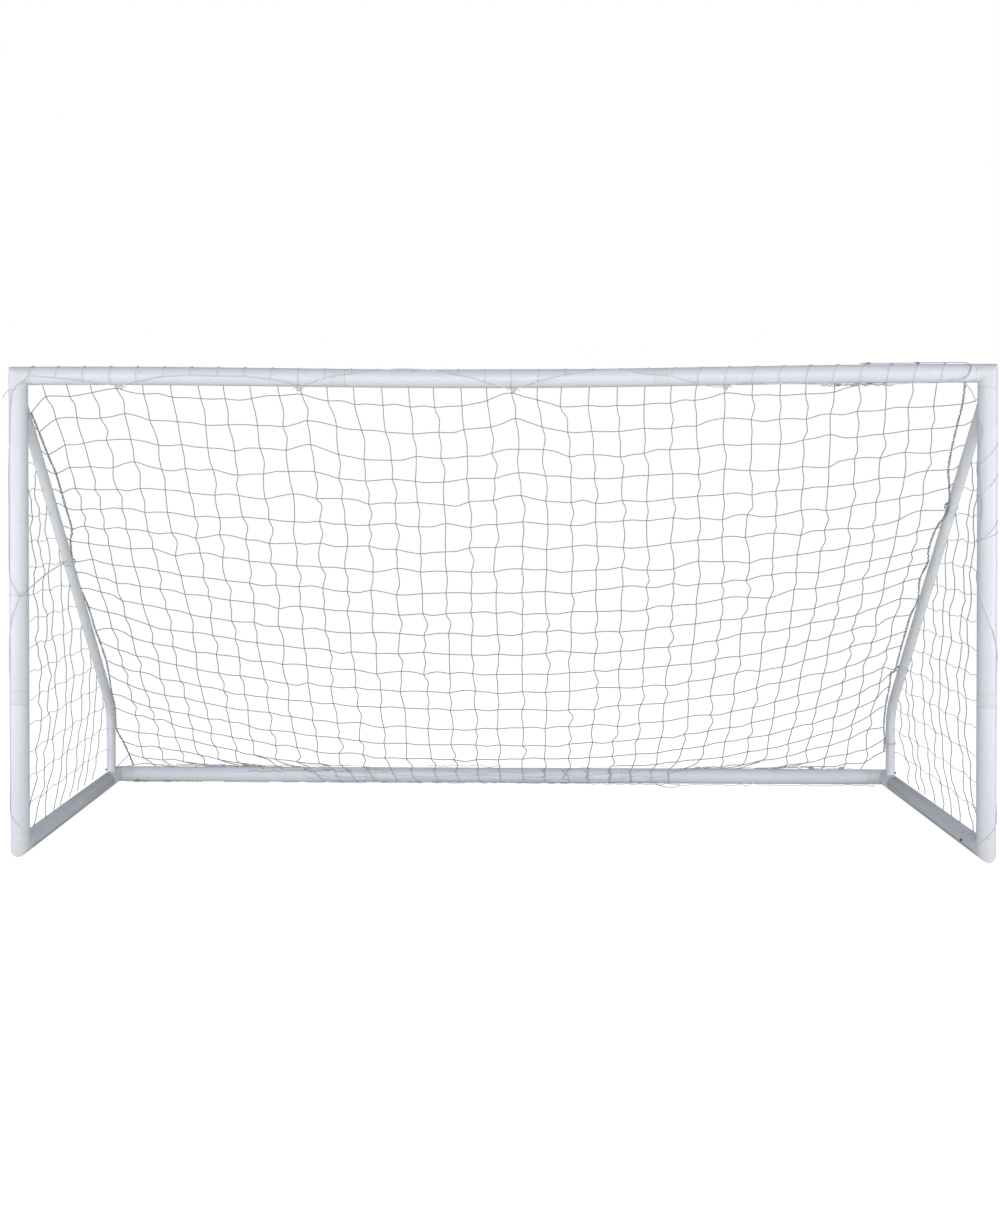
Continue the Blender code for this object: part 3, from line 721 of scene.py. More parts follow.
LEFT_EDGE = np.array([
    [-1763, -536, 1660], [-1764, -457, 1591], [-1766, -361, 1507], [-1766, -277, 1435],
    [-1766, -213, 1356], [-1766, -167, 1297], [-1766, -98, 1205], [-1770, -105, 1159],
    [-1790, -24, 1067], [-1790, 10, 1023], [-1790, 67, 950], [-1778, 133, 864],
    [-1763, 182, 755], [-1762, 236, 699], [-1761, 314, 607], [-1761, 355, 534],
    [-1761, 396, 440], [-1756, 423, 374], [-1758, 450, 273], [-1750, 520, 199],
    [-1736, 560, 134], [-1716, 568, 77],
]) / 1000
RIGHT_EDGE = np.array([
    [1721, -560, 1769], [1722, -530, 1686], [1723, -475, 1608], [1727, -412, 1520],
    [1731, -370, 1445], [1752, -325, 1376], [1774, -253, 1288], [1762, -162, 1214],
    [1751, -111, 1130], [1751, -99, 1072], [1751, -10, 999], [1751, 13, 911],
    [1751, 100, 837], [1751, 157, 762], [1751, 211, 691], [1746, 281, 576],
    [1741, 319, 557], [1744, 345, 496], [1746, 404, 397], [1748, 435, 294],
    [1751, 429, 243], [1746, 427, 185],
]) / 1000
CORNER_KNOTS = [
    (1, (-1.709, -0.530, 1.722)), (34, (1.533, -0.545, 1.765)), (35, (1.620, -0.550, 1.764)),
]
past = np.maximum(t - 1, 0)
front = (column > FRONT_FIRST) & (column < FRONT_LAST)
middle_out = np.clip((19 - column[0]) / 10, 0, 1)
for lower in range(1, NET_ROWS):
    follows = u[lower - 1] + (0.002 + 0.018 * middle_out) / FOOT_SPAN
    u[lower] = np.where(front[lower] & (past[lower] > 0), follows, u[lower])
print("columns wound in each row", (past > 0).sum(1))
angle = wound_angle(past, front) + chance.normal(0, 0.12, t.shape) * (past > 0)
on_bar = round_bar(rear_axis(u * FOOT_SPAN), angle, CORD_SEAT)
knots = np.where((past > 0)[..., None], on_bar, belly(u, np.minimum(t, 1)))
for corner_column, place in CORNER_KNOTS:
    knots[0, corner_column] = place
knots[:, 0] = LEFT_EDGE
knots[:, -1] = RIGHT_EDGE
mesh_sides = np.linalg.norm(np.diff(knots[:, 1:-1], axis=0), axis=-1)
print("mesh sides down", np.round(mesh_sides.mean(1), 3))

# %% [markdown]
# Twine between two knots never hangs quite straight: each knot was pulled tight at its
# own angle and twists the twine that leaves it. So each side of a mesh gets a middle
# point that stands off by a few millimetres, and a smooth line goes through them all.

# %% Twine paths
TWINE_SIDES = 5
THIN_R = 0.0008
KNOT_R = 0.0030
KNOT_FLOOR = (-np.inf, -np.inf, 1.25 * KNOT_R)
PATH_STEPS = 3
BOW = 0.0050
BOW_RIGHT = 0.0055
LOOSE_FOOT = 0.8
FRONT_END, BACK_END = np.radians([-95, 205])


def smooth_path(points, steps):
    """Catmull-Rom curve through the points.

    p(s) = (p0 (-s+2s^2-s^3) + p1 (2-5s^2+3s^3) + p2 (s+4s^2-3s^3) + p3 (s^3-s^2)) / 2.
    """
    before = np.concatenate([2 * points[:, :1] - points[:, 1:2], points[:, :-2]], axis=1)
    after = np.concatenate([points[:, 2:], 2 * points[:, -1:] - points[:, -2:-1]], axis=1)
    start, end = points[:, :-1], points[:, 1:]
    s = (np.arange(steps) / steps)[:, None]
    weights = (-s + 2 * s**2 - s**3, 2 - 5 * s**2 + 3 * s**3, s + 4 * s**2 - 3 * s**3, s**3 - s**2)
    parts = [w * p[:, :, None] for w, p in zip(weights, (before, start, end, after))]
    curve = (sum(parts) / 2).reshape(len(points), -1, 3)
    return np.concatenate([curve, points[:, -1:]], axis=1)


def bowed(points, size, lean=0.0):
    """The points with one between each two, which stands off by lean and a chance step."""
    middle = (points[:, :-1] + points[:, 1:]) / 2
    length = np.linalg.norm(points[:, 1:] - points[:, :-1], axis=-1, keepdims=True)
    stands_off = lean + chance.normal(0, 1, middle.shape) * size
    middle = middle + stands_off * np.minimum(1, length / 0.1)
    made = np.empty((len(points), 2 * points.shape[1] - 1, 3))
    made[:, ::2] = points
    made[:, 1::2] = middle
    return made


def cord_rings(paths, radius, reference, sides=TWINE_SIDES):
    """Rings round every path, square to its own direction."""
    return rings(paths, np.gradient(paths, axis=1), reference, radius, sides)


def knot_balls(centres, size):
    """Small knots: rings of radius size sin b at height size cos b, squashed at random."""
    centres = centres.reshape(-1, 3)
    b = np.radians([25, 65, 115, 155])[:, None]
    a = TAU * np.arange(6) / 6
    unit_ball = at(np.sin(b) * np.cos(a), np.sin(b) * np.sin(a), np.cos(b))
    stretch = size * chance.uniform(0.75, 1.25, (len(centres), 1, 1, 3))
    return centres[:, None, None] + unit_ball * stretch


def kept_off(paths):
    """Points inside the rear bar moved straight out to its surface, and none below the floor."""
    axis = rear_axis(paths[..., 0])
    away = paths - axis
    reach = np.linalg.norm(away, axis=-1, keepdims=True)
    moved = axis + away * np.maximum(CORD_SEAT / np.maximum(reach, 0.001), 1)
    moved[..., 2] = np.maximum(moved[..., 2], TWINE_R)
    return moved


# %% Up and over the crossbar
HEAD_ROPE = np.array([
    [-1741, -6], [-1691, -11], [-1610, -21], [-1528, -39], [-1422, -73], [-1405, -88],
    [-1390, -57], [-1309, -26], [-1250, -9], [-1145, -1], [-1040, -2], [-934, -4],
    [-839, -16], [-762, -40], [-737, -66], [-717, -43], [-639, -6], [-593, 9],
    [-563, 17], [-457, 38], [-366, 60], [-247, 48], [-187, 24], [-103, 2],
    [-27, -35], [52, -75], [108, -36], [168, -11], [233, 12], [303, 27],
    [397, 40], [457, 38], [533, 16], [633, -2], [707, -32], [769, -70],
    [822, -88], [911, -45], [1009, -58], [1108, -64], [1185, -80], [1272, -95],
    [1402, -86], [1525, -66], [1608, -52], [1692, -36],
]) / [1000, 1]
OVER_BAR = np.array([[1, -1.746], [11, -0.744], [27, 0.836], [35, 1.625]])
SLANT = 0.026
TOP_ROW_ANGLE = np.radians(118)
TOP_ROW_POINTS = 109


def head_angle(x):
    """The head rope's angle on the crossbar at x, in radians, between the points measured."""
    return np.radians(np.interp(x, HEAD_ROPE[:, 0], HEAD_ROPE[:, 1]))


share = np.linspace(0, 1, 9)
top_x = np.interp(np.arange(1, NET_COLUMNS - 1), OVER_BAR[:, 0], OVER_BAR[:, 1])
start_angle = head_angle(top_x)[:, None]
over = start_angle + (BAR_BACK - start_angle) * share
leaning = np.interp(over, np.radians([5, 80, 160]), [-0.25, 0.75, 0])
slanted = top_x[:, None] + SLANT * np.clip(top_x / 0.7, 0, 1)[:, None] * leaning
slanted = slanted + 0.6 * (knots[0, 1:-1, :1] - top_x[:, None]) * share**2
over_bar = round_bar(crossbar_axis(slanted), over, CORD_SEAT)

looser = 1 + LOOSE_FOOT * (np.arange(NET_ROWS - 1)[:, None] / NET_ROWS) ** 3
downs = bowed(knots[:, 1:-1].transpose(1, 0, 2), BOW * looser, X * BOW_RIGHT)
past_knot = np.array([0.3, 0.65, 1.0])
last_angle = angle[-1, 1:-1, None]
bar_end = np.where(front[-1, 1:-1, None], FRONT_END, BACK_END)
under = last_angle + (bar_end - last_angle) * past_knot
under_x = 0.012 * middle_out[1:-1, None] + chance.normal(0, 0.005, under.shape)
under_x = knots[-1, 1:-1, :1] + under_x * past_knot
wound = round_bar(rear_axis(under_x), under, CORD_SEAT)
downs = np.concatenate([over_bar[:, :-1], downs, wound], axis=1)
downs = kept_off(smooth_path(downs, PATH_STEPS))
acrosses = kept_off(smooth_path(bowed(knots, BOW * 0.7), PATH_STEPS))
top_x = np.linspace(-TOP_SPAN, TOP_SPAN, TOP_ROW_POINTS)
top_angle = TOP_ROW_ANGLE + chance.normal(0, 0.07, TOP_ROW_POINTS)
top_row = round_bar(crossbar_axis(top_x), top_angle, CORD_SEAT)
print("twine down", downs.shape, "across", acrosses.shape)

# %% The back net as one mesh
FLUFF = 1.06
FRAY = 0.18
NEAR_REAR_BAR = 0.045


def join(objects, name):
    """One object from several, with the first one's name changed."""
    with bpy.context.temp_override(active_object=objects[0], selected_editable_objects=objects):
        bpy.ops.object.join()
    objects[0].name = objects[0].data.name = name
    print(name, len(objects[0].data.polygons), "faces from", len(objects), "parts")
    return objects[0]


def fluffed(paths):
    """The twine's radius: a little over its laid one, and most near the ground, where it frays."""
    return TWINE_R * (FLUFF + FRAY * np.clip(1 - paths[..., 2] / AXIS_TOP, 0, 1))


on_rear = np.linalg.norm(acrosses - rear_axis(acrosses[..., 0]), axis=-1) < NEAR_REAR_BAR
across_radius = np.where(on_rear, THIN_R, fluffed(acrosses))
net_parts = [
    add_grids("net_down", cord_rings(downs, fluffed(downs), X)),
    add_grids("net_across", cord_rings(acrosses, across_radius, Z)),
    add_grids("net_top_row", cord_rings(top_row[None], TWINE_R, Z)),
    add_grids("net_knots", knot_balls(np.maximum(kept_off(knots), KNOT_FLOOR), KNOT_R)),
]
back_net = stand_for(join(net_parts, "back_net_knotted"), "back_net")

# %% [markdown]
# ## Side panels
#
# Each side panel is a sheet of the same net between post, ground bar and stanchion.
# Its twines fan a little, because the panel is laced to the post, which is upright,
# and to the stanchion, which leans. A column stops where it meets the stanchion.

# %% Side panels
MESH_SIDE = 0.100
COLUMN_STEP = 0.105
SIDE_LEAN = 0.12
SIDE_SWING = 0.15
SIDE_FIRST, SIDE_COLUMNS = -0.37, 9
WIDEST = 0.60
PANEL_TOP = 1.62
POST_CLEAR = 0.004
OUTSIDE = STANCHION_R + 0.0015
BACK_LINE = stanchion_axis(np.linspace(0, STANCHION_LENGTH + LEG_TOP - FITTING_TOP, 400))


def stanchion_y(z):
    """The stanchion's depth at height z."""
    return np.interp(-z, -BACK_LINE[:, 2], BACK_LINE[:, 1])


def panel_x(sign, depth, z, front_y):
    """Against the post's inside in front, and just outside the stanchion at the back."""
    near = np.clip(1.5 * (depth - front_y) / np.maximum(stanchion_y(z) - front_y, 0.02), 0, 1)
    return sign * (AXIS_X - POST_CLEAR + (OUTSIDE + POST_CLEAR) * near)


def column_depth(start, z):
    """start - lean (z - widest) above the widest height, - swing ((widest - z) / 0.5)^2 below."""
    below = np.clip((WIDEST - z) / 0.5, 0, 1.2)
    return start - SIDE_SWING * below**2 - SIDE_LEAN * np.maximum(z - WIDEST, 0)


def waves(run, count):
    """4 mm sin(TAU s / 0.21 + p) + 2 mm sin(TAU s / 0.085 + q), with p and q by chance."""
    p, q = chance.uniform(0, TAU, (2, count, 1))
    return 0.004 * np.sin(TAU * run / 0.21 + p) + 0.002 * np.sin(TAU * run / 0.085 + q)


def side_panel(sign):
    """Columns that stop behind the stanchion, and rows at every mesh height."""
    front_y = POST_Y + TUBE_R + POST_CLEAR
    bottom = 2 * TUBE_R + TWINE_R
    start = SIDE_FIRST + COLUMN_STEP * np.arange(SIDE_COLUMNS)[:, None]
    start = start + chance.normal(0, 0.01, start.shape)
    z = np.linspace(bottom, PANEL_TOP, 600)
    behind = stanchion_y(z) < column_depth(start, z)
    behind[:, -1] = True
    ends = z[np.argmax(behind, axis=1)][:, None]
    height = bottom + (ends - bottom) * np.linspace(0, 1, 44)
    depth = column_depth(start, height) + 3 * waves(height, SIDE_COLUMNS)
    depth = np.clip(depth, front_y, stanchion_y(height) + 0.008)
    x = panel_x(sign, depth, height, front_y) + waves(height, SIDE_COLUMNS)
    columns = at(x, depth, height)

    z = bottom + MESH_SIDE * np.arange(1, int((PANEL_TOP - bottom) / MESH_SIDE))[:, None]
    depth = front_y + (stanchion_y(z) - front_y) * np.linspace(0, 1, 40)
    z = z + 1.2 * waves(depth, len(z))
    return columns, at(panel_x(sign, depth, z, front_y), depth, z)


side_nets = []
for side, sign in SIDES.items():
    columns, lines = side_panel(sign)
    parts = [
        add_grids("side_down", cord_rings(columns, TWINE_R * 1.1, X)),
        add_grids("side_across", cord_rings(lines, TWINE_R * 0.65, Z)),
    ]
    obj = join(parts, f"side_net_{side}_knotted")
    side_nets.append(stand_for(obj, f"side_net_{side}"))

# %% [markdown]
# ## Ropes, edge cords and lacing
#
# A thin rope holds the net's head along the crossbar: it climbs and falls on the
# bar's front face between the ties that pull it down, and its loose end is gathered
# at the right. Doubled cords run down the two edges, and a lacing winds round each
# post. It is knotted on the left post and tied from there to the stanchion. The foot
# rope lies before the rear bar, with slack strands, hooks, curls and a loop on the floor.

# %% Cords
def smoothed(points, steps=4):
    """One smooth line through a list of points."""
    return smooth_path(np.asarray(points, float)[None], steps)[0]


def fine_line(points, step):
    """A smooth line through points with about one point per step of length."""
    length = np.linalg.norm(np.diff(points, axis=0), axis=1).mean()
    return smoothed(points, max(2, int(length / step)))


def laid_on(axis, x, degrees, radius):
    """Points on a bar along X, at degrees from its front upwards."""
    return round_bar(axis(x), np.radians(degrees), radius)


def tangle(centre, size, turns):
    """A bundle of cord: an ellipse of half sizes (x, y, z) whose reach wanders as it winds."""
    a = TAU * np.linspace(0, turns, 8 * turns + 1)
    ring = at(np.cos(a), np.sin(a) * np.cos(0.37 * a), np.sin(a))
    reach = chance.uniform(0.45, 1.0, ring.shape) * size
    return smoothed(np.array(centre) + ring * reach, 3)


def slack(along, angles, lift, axis=rear_axis):
    """A slack strand on a bar: at each x an angle that jumps by chance, lifted by up to lift."""
    x = along + chance.normal(0, 0.003, len(along))
    angle = np.radians(angles[0] + (angles[1] - angles[0]) * chance.random(len(along)))
    reach = CORD_SEAT + lift * chance.random((len(along), 1))
    return smoothed(round_bar(axis(x), angle, reach))


def add_cords(name, lines, radius, sides=6):
    """One object from cords of different lengths, of one radius or of one each."""
    radii = np.broadcast_to(radius, len(lines))
    rounds = [cord_rings(line[None], r, Y + 0.3 * Z, sides) for line, r in zip(lines, radii)]
    parts = [add_grids(name, grid) for grid in rounds]
    return join(parts, name) if len(parts) > 1 else parts[0]


# %% Head rope
ROPE_TURNS_R = 0.0019
LOOSE_R = 0.0011
HEAD_SEAT = TUBE_R + 2 * TWINE_R + ROPE_TURNS_R
TIED_X = (-1.410, -0.744, 0.053, 0.836)
TIE_TAIL = np.array([[0, 0, 0], [12, -6, 4], [22, -4, -3]]) / 1000
ELBOW_CROSSING = np.array([
    (-1827, -596, 1737), (-1812, -608, 1742), (-1797, -612, 1745), (-1790, -613, 1757),
    (-1771, -613, 1768), (-1757, -613, 1780),
]) / 1000
HEAD_END = np.array([
    [1692, -36], [1712, -10], [1722, 40], [1705, 80], [1640, 92], [1560, 96], [1450, 100],
    [1360, 94], [1330, 86],
]) / [1000, 1]
LOOSE_TAIL = np.array([
    (-1826, -598, 1738), (-1835, -601, 1728), (-1842, -600, 1719), (-1841, -598, 1712),
]) / 1000
GATHERED = ((-112, -84), (-100, -72))
GATHERED_X = np.arange(1.19, 1.46, 0.013)
END_TANGLES = [
    (1.25, -92, 0.0060, 0.005), (1.31, -92, 0.0060, 0.005), (1.35, -92, 0.0060, 0.005),
    (1.36, 90, 0.0047, 0.003), (1.54, 90, 0.0047, 0.003),
]

head_line = laid_on(crossbar_axis, *HEAD_ROPE.T, HEAD_SEAT)
head_lines = [fine_line(np.concatenate([ELBOW_CROSSING, head_line]), 0.01)]
for x in TIED_X:
    knot = laid_on(crossbar_axis, x, -78, TUBE_R + 0.009)
    head_lines.append(tangle(knot, (0.010, 0.008, 0.010), 5))
    head_lines += [smoothed(knot + TIE_TAIL * [sign, 1, 1]) for sign in (-1, 1)]
head_rope = stand_for(add_cords("head_rope_laid", head_lines, ROPE_TURNS_R), "head_rope")

end_lines = [fine_line(laid_on(crossbar_axis, *HEAD_END.T, HEAD_SEAT), 0.01)]
end_lines.append(fine_line(LOOSE_TAIL, 0.004))
end_lines += [slack(GATHERED_X, angles, 0.010, crossbar_axis) for angles in GATHERED]
for x, degrees, off, half in END_TANGLES:
    centre = laid_on(crossbar_axis, x, degrees, TUBE_R + off)
    end_lines.append(tangle(centre, (0.012, half, half), 2))
end_radii = [ROPE_TURNS_R * 0.8] + [LOOSE_R] * (len(end_lines) - 1)
# The loose end is dressed below in white cord painted grey as shade.
head_end = add_cords("head_rope_end_painted_grey", end_lines, end_radii)
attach(head_end, "frame")

# %% Foot rope
SLACK_STRANDS = [
    (-1.17, -0.50, 30, 55, 0.0), (-1.60, -1.15, 90, 130, 0.013), (-1.52, -0.80, 90, 125, 0.010),
    (0.80, 0.92, 10, 60, 0.0), (0.90, 1.08, 70, 110, 0.008), (1.20, 1.66, 100, 130, 0.006),
    (-0.33, 0.02, 88, 120, 0.012),
]
FOOT_TANGLES = [
    (-1.690, -45), (-1.655, -55), (-1.560, -50), (-1.540, -60),
    (0.93, 88), (0.97, 92), (1.46, 100), (1.60, 105),
]
HOOK = np.array([[68, 0], [58, 3], [48, 5], [40, 11], [36, 19], [41, 25]])
CURL = np.array([[58, 0], [46, 2], [34, 9], [24, 14], [12, 12], [2, 4], [-10, 1]])
HOOKS = [(-1.107, 0.4), (-1.018, 0.5), (-0.910, 0.7), (-0.811, 0.9), (-0.713, 1.1)]
FLOOR_LOOP = np.array([
    (725, 546, 10), (742, 526, 4), (766, 497, 3), (795, 486, 3),
    (823, 498, 3), (838, 524, 4), (846, 545, 10),
]) / 1000
CURLS = [(0.205, 1.0), (0.300, 1.0), (0.405, 1.0), (0.512, 1.0)]

x = np.arange(-FOOT_SPAN, FOOT_SPAN, 0.02)
drift = np.convolve(chance.normal(0, 1, len(x) + 4), np.ones(5) / 5, "valid")
forward = 0.029 + 0.022 * np.clip((x - 0.4) / 0.5, 0, 1) + 0.006 * drift
foot_line = rear_axis(x) - Y * forward[:, None]
foot_line[:, 2] = ROPE_TURNS_R + 0.004 * abs(chance.normal(0, 1, len(x)))
foot_rope = stand_for(add_cords("foot_rope_laid", [smoothed(foot_line, 3)], TWINE_R), "foot_rope")

loose_lines = []
for start, end, low, high, lift in SLACK_STRANDS:
    along = np.arange(start, end, 0.014 if lift else 0.030)
    loose_lines.append(slack(along, (low, high), lift))
for x, degrees in FOOT_TANGLES:
    centre = laid_on(rear_axis, x, degrees, TUBE_R + 0.004)
    loose_lines.append(tangle(centre, (0.014, 0.006, 0.006), 3))
for shape, places in ((HOOK, HOOKS), (CURL, CURLS)):
    degrees, aside = shape.T
    for x, size in places:
        bent = degrees[0] + size * (degrees - degrees[0])
        seat = CORD_SEAT + LOOSE_R
        loose_lines.append(smoothed(laid_on(rear_axis, x + aside * size / 1000, bent, seat)))
loose_lines = [kept_off(line) for line in loose_lines] + [fine_line(FLOOR_LOOP, 0.006)]
bends = len(HOOKS) + len(CURLS) + 1
loose_radii = [LOOSE_R] * (len(loose_lines) - bends) + [LOOSE_R * 1.4] * bends
foot_ends = add_cords("foot_rope_loose_ends", loose_lines, loose_radii)
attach(foot_ends, "frame")

# %% Edge cords along the stanchions
def doubled(line, apart, wave):
    """Two lines that twist round each other: p + and p - apart (u cos k s + v sin k s)."""
    u, v = square_to(unit(np.gradient(line, axis=0)), X)
    run = np.r_[0, np.cumsum(np.linalg.norm(np.diff(line, axis=0), axis=1))]
    turn = (TAU * run / wave + np.cumsum(chance.normal(0, 0.25, len(run))))[:, None]
    off = apart * (u * np.cos(turn) + v * np.sin(turn))
    return [line + off, line - off]


LEG_TIE = (-1.772, 0.482, 0.082)
edge_cords = []
for side, edge in (("left", LEFT_EDGE), ("right", RIGHT_EDGE)):
    line = fine_line(edge, 0.006)
    seam = doubled(line, TWINE_R * 1.5, 0.14)
    seam.append(doubled(line, TWINE_R * 2.4, 0.021)[0])
    for place in edge[1:8]:
        held = at(SIDES[side] * (AXIS_X - 0.012), stanchion_y(place[2]), place[2] + 0.02)
        seam.append(smoothed([place, (place + held) / 2 + Z * chance.normal(0, 0.006), held]))
    if side == "left":
        seam += [smoothed([LEG_TIE, place]) for place in edge[-2:] + X * 0.008]
    obj = add_cords(f"corner_rope_{side}_doubled", seam, TWINE_R, 5)
    edge_cords.append(stand_for(obj, f"corner_rope_{side}"))

# %% Lacing round the posts
LACING_R = 0.0017
LEFT_LACING = np.array([
    (1745, 8), (1737, 18), (1700, 28), (1640, 38), (1550, 40), (1450, 60), (1334, 76), (1200, 75),
    (1060, 58), (1015, 17), (991, -7), (977, -24), (937, -3), (900, 26), (850, 40),
    (820, 58), (758, 66), (725, 60), (680, 86), (300, 86), (176, 70), (100, -40),
]) / [1000, 1]
RIGHT_LACING = np.array([
    (1735, -84), (1686, -80), (1640, -88), (1594, -54), (1557, -54), (1519, -78), (1480, -70),
    (1297, -57), (1180, -70), (1215, 80), (1120, 180), (1000, 290), (959, 303), (918, 334),
    (885, 347), (859, 370), (822, 388), (785, 411), (736, 437), (703, 450), (220, 450),
    (146, 420), (60, 290),
]) / [1000, 1]
LACING_STEP = 0.006
IN_RADIAN = 57.3
SOFT_OVER = 9
SECOND_TURN = 7
SLANTED_TURNS = {
    "left": [(0.977, 0.002)],
    "right": [(1.50, 0.040), (1.385, 0.040), (1.215, 0.040)],
}
POST_KNOT = (-1.781, -0.611, 0.977)
INNER_KNOTS = (0.70, 0.48, 0.165)
GUY_LINE = np.array([
    (-1781, -612, 977), (-1758, -592, 996), (-1768, -400, 1036), (-1776, -220, 1064),
    (-1790, -85, 1074),
]) / 1000
CORNER_LOOP = np.array([
    (1690, -600, 1764), (1712, -604, 1746), (1730, -602, 1722), (1744, -600, 1690),
]) / 1000


def round_post(sign, angle, z):
    """Points round a post, at an angle from its front to the outside of the goal."""
    seat = TUBE_R + LACING_R
    return at(sign * (AXIS_X + seat * np.sin(angle)), POST_Y - seat * np.cos(angle), z)


def lacing_line(route, sign):
    """(height, degrees from the front to the outside) pairs, smoothed, laid on the post."""
    z, degrees = route.T
    run = np.r_[0, np.cumsum(abs(np.diff(z)) + abs(np.diff(degrees)) * TUBE_R / IN_RADIAN)]
    s = np.linspace(0, run[-1], int(run[-1] / LACING_STEP))
    soft = np.ones(SOFT_OVER) / SOFT_OVER
    values = (np.interp(s, run, z), np.radians(np.interp(s, run, degrees)))
    padded = [np.pad(value, SOFT_OVER // 2, mode="edge") for value in values]
    z, angle = [np.convolve(value, soft, "valid") for value in padded]
    return round_post(sign, angle, z)


def slanted_turn(sign, z, rise):
    """A closed turn round a post: height z + rise sin a at the angle a from the front."""
    a = TAU * np.linspace(0, 1, 49)
    return round_post(sign, a, z + rise * np.sin(a))


lacings = []
for side, route in (("left", LEFT_LACING), ("right", RIGHT_LACING)):
    cords = [lacing_line(route, SIDES[side])]
    if side == "right":
        upper = route[:9] + [0, SECOND_TURN]
        upper[:, 1] += chance.normal(0, 3, len(upper))
        cords.append(lacing_line(upper, 1))
        cords += doubled(fine_line(CORNER_LOOP, 0.005), LACING_R * 1.3, 0.03)
        for z in INNER_KNOTS:
            inner = (AXIS_X - TUBE_R - 0.003, POST_Y - 0.012, z)
            cords.append(tangle(inner, (0.005, 0.004, 0.007), 3))
    else:
        cords.append(tangle(POST_KNOT, (0.007, 0.004, 0.006), 3))
        cords += doubled(fine_line(GUY_LINE, 0.006), LACING_R * 0.7, 0.05)
    cords += [slanted_turn(SIDES[side], z, rise) for z, rise in SLANTED_TURNS[side]]
    radii = [LACING_R] * 2 + [LACING_R * 0.75] * (len(cords) - 2)
    obj = add_cords(f"post_lacing_{side}_wound", cords, radii)
    lacings.append(stand_for(obj, f"post_lacing_{side}"))

# %% Ties round the stanchions
TIES = {"left": [1.07], "right": [1.30, 0.57, 0.21]}
TIE_R = 0.0021
TIE_CREEP = 0.006
TIE_POINTS = 90


def distance_at(z):
    """How far down the stanchion's axis a height lies, from a fine table of both."""
    fine = np.linspace(0, STANCHION_LENGTH + LEG_TOP, 800)
    return np.interp(-z, -stanchion_axis(fine)[:, 2], fine)


def tie_line(side, z):
    """Two and a half turns round stanchion and edge cord: a ring that creeps along the axis."""
    d = distance_at(z)
    centre, after = stanchion_axis(np.array([d, d + 0.01])) + X * SIDES[side] * AXIS_X
    along = unit(after - centre)
    inward = -SIDES[side] * X
    back = np.cross(along, inward)
    angle = np.linspace(0, 2.5 * TAU, TIE_POINTS)[:, None]
    creep = TIE_CREEP * np.linspace(-1, 1, TIE_POINTS)[:, None]
    reach = STANCHION_R + TIE_R + 0.006 * np.maximum(np.cos(angle), 0) ** 2
    return centre + reach * (inward * np.cos(angle) + back * np.sin(angle)) + along * creep


ties = []
for side, heights in TIES.items():
    for number, z in enumerate(heights, 1):
        tie = f"stanchion_tie_{side}_{number}"
        grid = cord_rings(tie_line(side, z)[None], TIE_R, Y * 0.3 + Z, 6)
        ties.append(stand_for(add_grids(tie + "_wound", grid), tie))
print(len(ties), "ties")

# %% [markdown]
# ## Finishes
#
# Each finish starts from what the real surface is. Colours are written as sRGB hex,
# as a paint chart gives them, and one function turns them to the linear values that
# the shader works in.

# %% Finish helpers
def linear(hexed):
    """sRGB to linear: c / 12.92 below 0.04045, else ((c + 0.055) / 1.055)^2.4."""
    c = np.array([int(hexed[i : i + 2], 16) for i in (1, 3, 5)]) / 255
    return (*np.where(c <= 0.04045, c / 12.92, ((c + 0.055) / 1.055) ** 2.4), 1.0)


def node(tree, kind, settings=None, **links):
    """Adds a node, sets its properties, then sets or links each named or numbered input."""
    made = tree.nodes.new("ShaderNode" + kind)
    for name, value in (settings or {}).items():
        setattr(made, name, value)
    for name, value in links.items():
        numbered = name[0] == "i" and name[1:].isdigit()
        socket = made.inputs[int(name[1:]) if numbered else name.replace("_", " ")]
        if isinstance(value, bpy.types.NodeSocket):
            tree.links.new(value, socket)
        else:
            socket.default_value = value
    return made


def maths(tree, kind, operation, *values):
    """A Math or VectorMath node's result from one or two values."""
    inputs = {f"i{number}": value for number, value in enumerate(values)}
    made = node(tree, kind, {"operation": operation}, **inputs)
    return made.outputs["Value" if operation == "LENGTH" else 0]


def finish(name, colour, roughness, **constants):
    """A new Principled finish: its material, node tree and shader."""
    made = bpy.data.materials.new(name)
    made.use_nodes = True
    shader = made.node_tree.nodes["Principled BSDF"]
    shader.inputs["Base Color"].default_value = linear(colour)
    shader.inputs["Roughness"].default_value = roughness
    for key, value in constants.items():
        shader.inputs[key.replace("_", " ")].default_value = value
    made.diffuse_color = linear(colour)
    return made, made.node_tree, shader


def dress(objects, material):
    """Gives the finish to each object."""
    for obj in objects:
        obj.data.materials.clear()
        obj.data.materials.append(material)


def mixed(tree, share, first, second):
    """The colour that lies at a share between two."""
    pair = [v if isinstance(v, bpy.types.NodeSocket) else linear(v) for v in (first, second)]
    made = node(tree, "Mix", {"data_type": "RGBA"}, Factor=share, i6=pair[0], i7=pair[1])
    return made.outputs["Result"]


def spread(tree, value, low, high, start=0.3, end=0.7):
    """A value between start and end, mapped to one between low and high."""
    limits = {"From_Min": start, "From_Max": end, "To_Min": low, "To_Max": high}
    return node(tree, "MapRange", Value=value, **limits).outputs[0]


def noise(tree, place, scale, detail=3.0):
    """Soft noise from 0 to 1, whose patches are about 1 / scale metres across."""
    return node(tree, "TexNoise", Vector=place, Scale=scale, Detail=detail).outputs["Fac"]


def object_place(tree):
    return node(tree, "TexCoord").outputs["Object"]


def stretched(tree, across, along):
    """The unrolled map in metres, times a scale across the length and one along it."""
    unrolled = node(tree, "UVMap", {"uv_map": "unrolled"}).outputs[0]
    return maths(tree, "VectorMath", "MULTIPLY", unrolled, (across, along, 1))


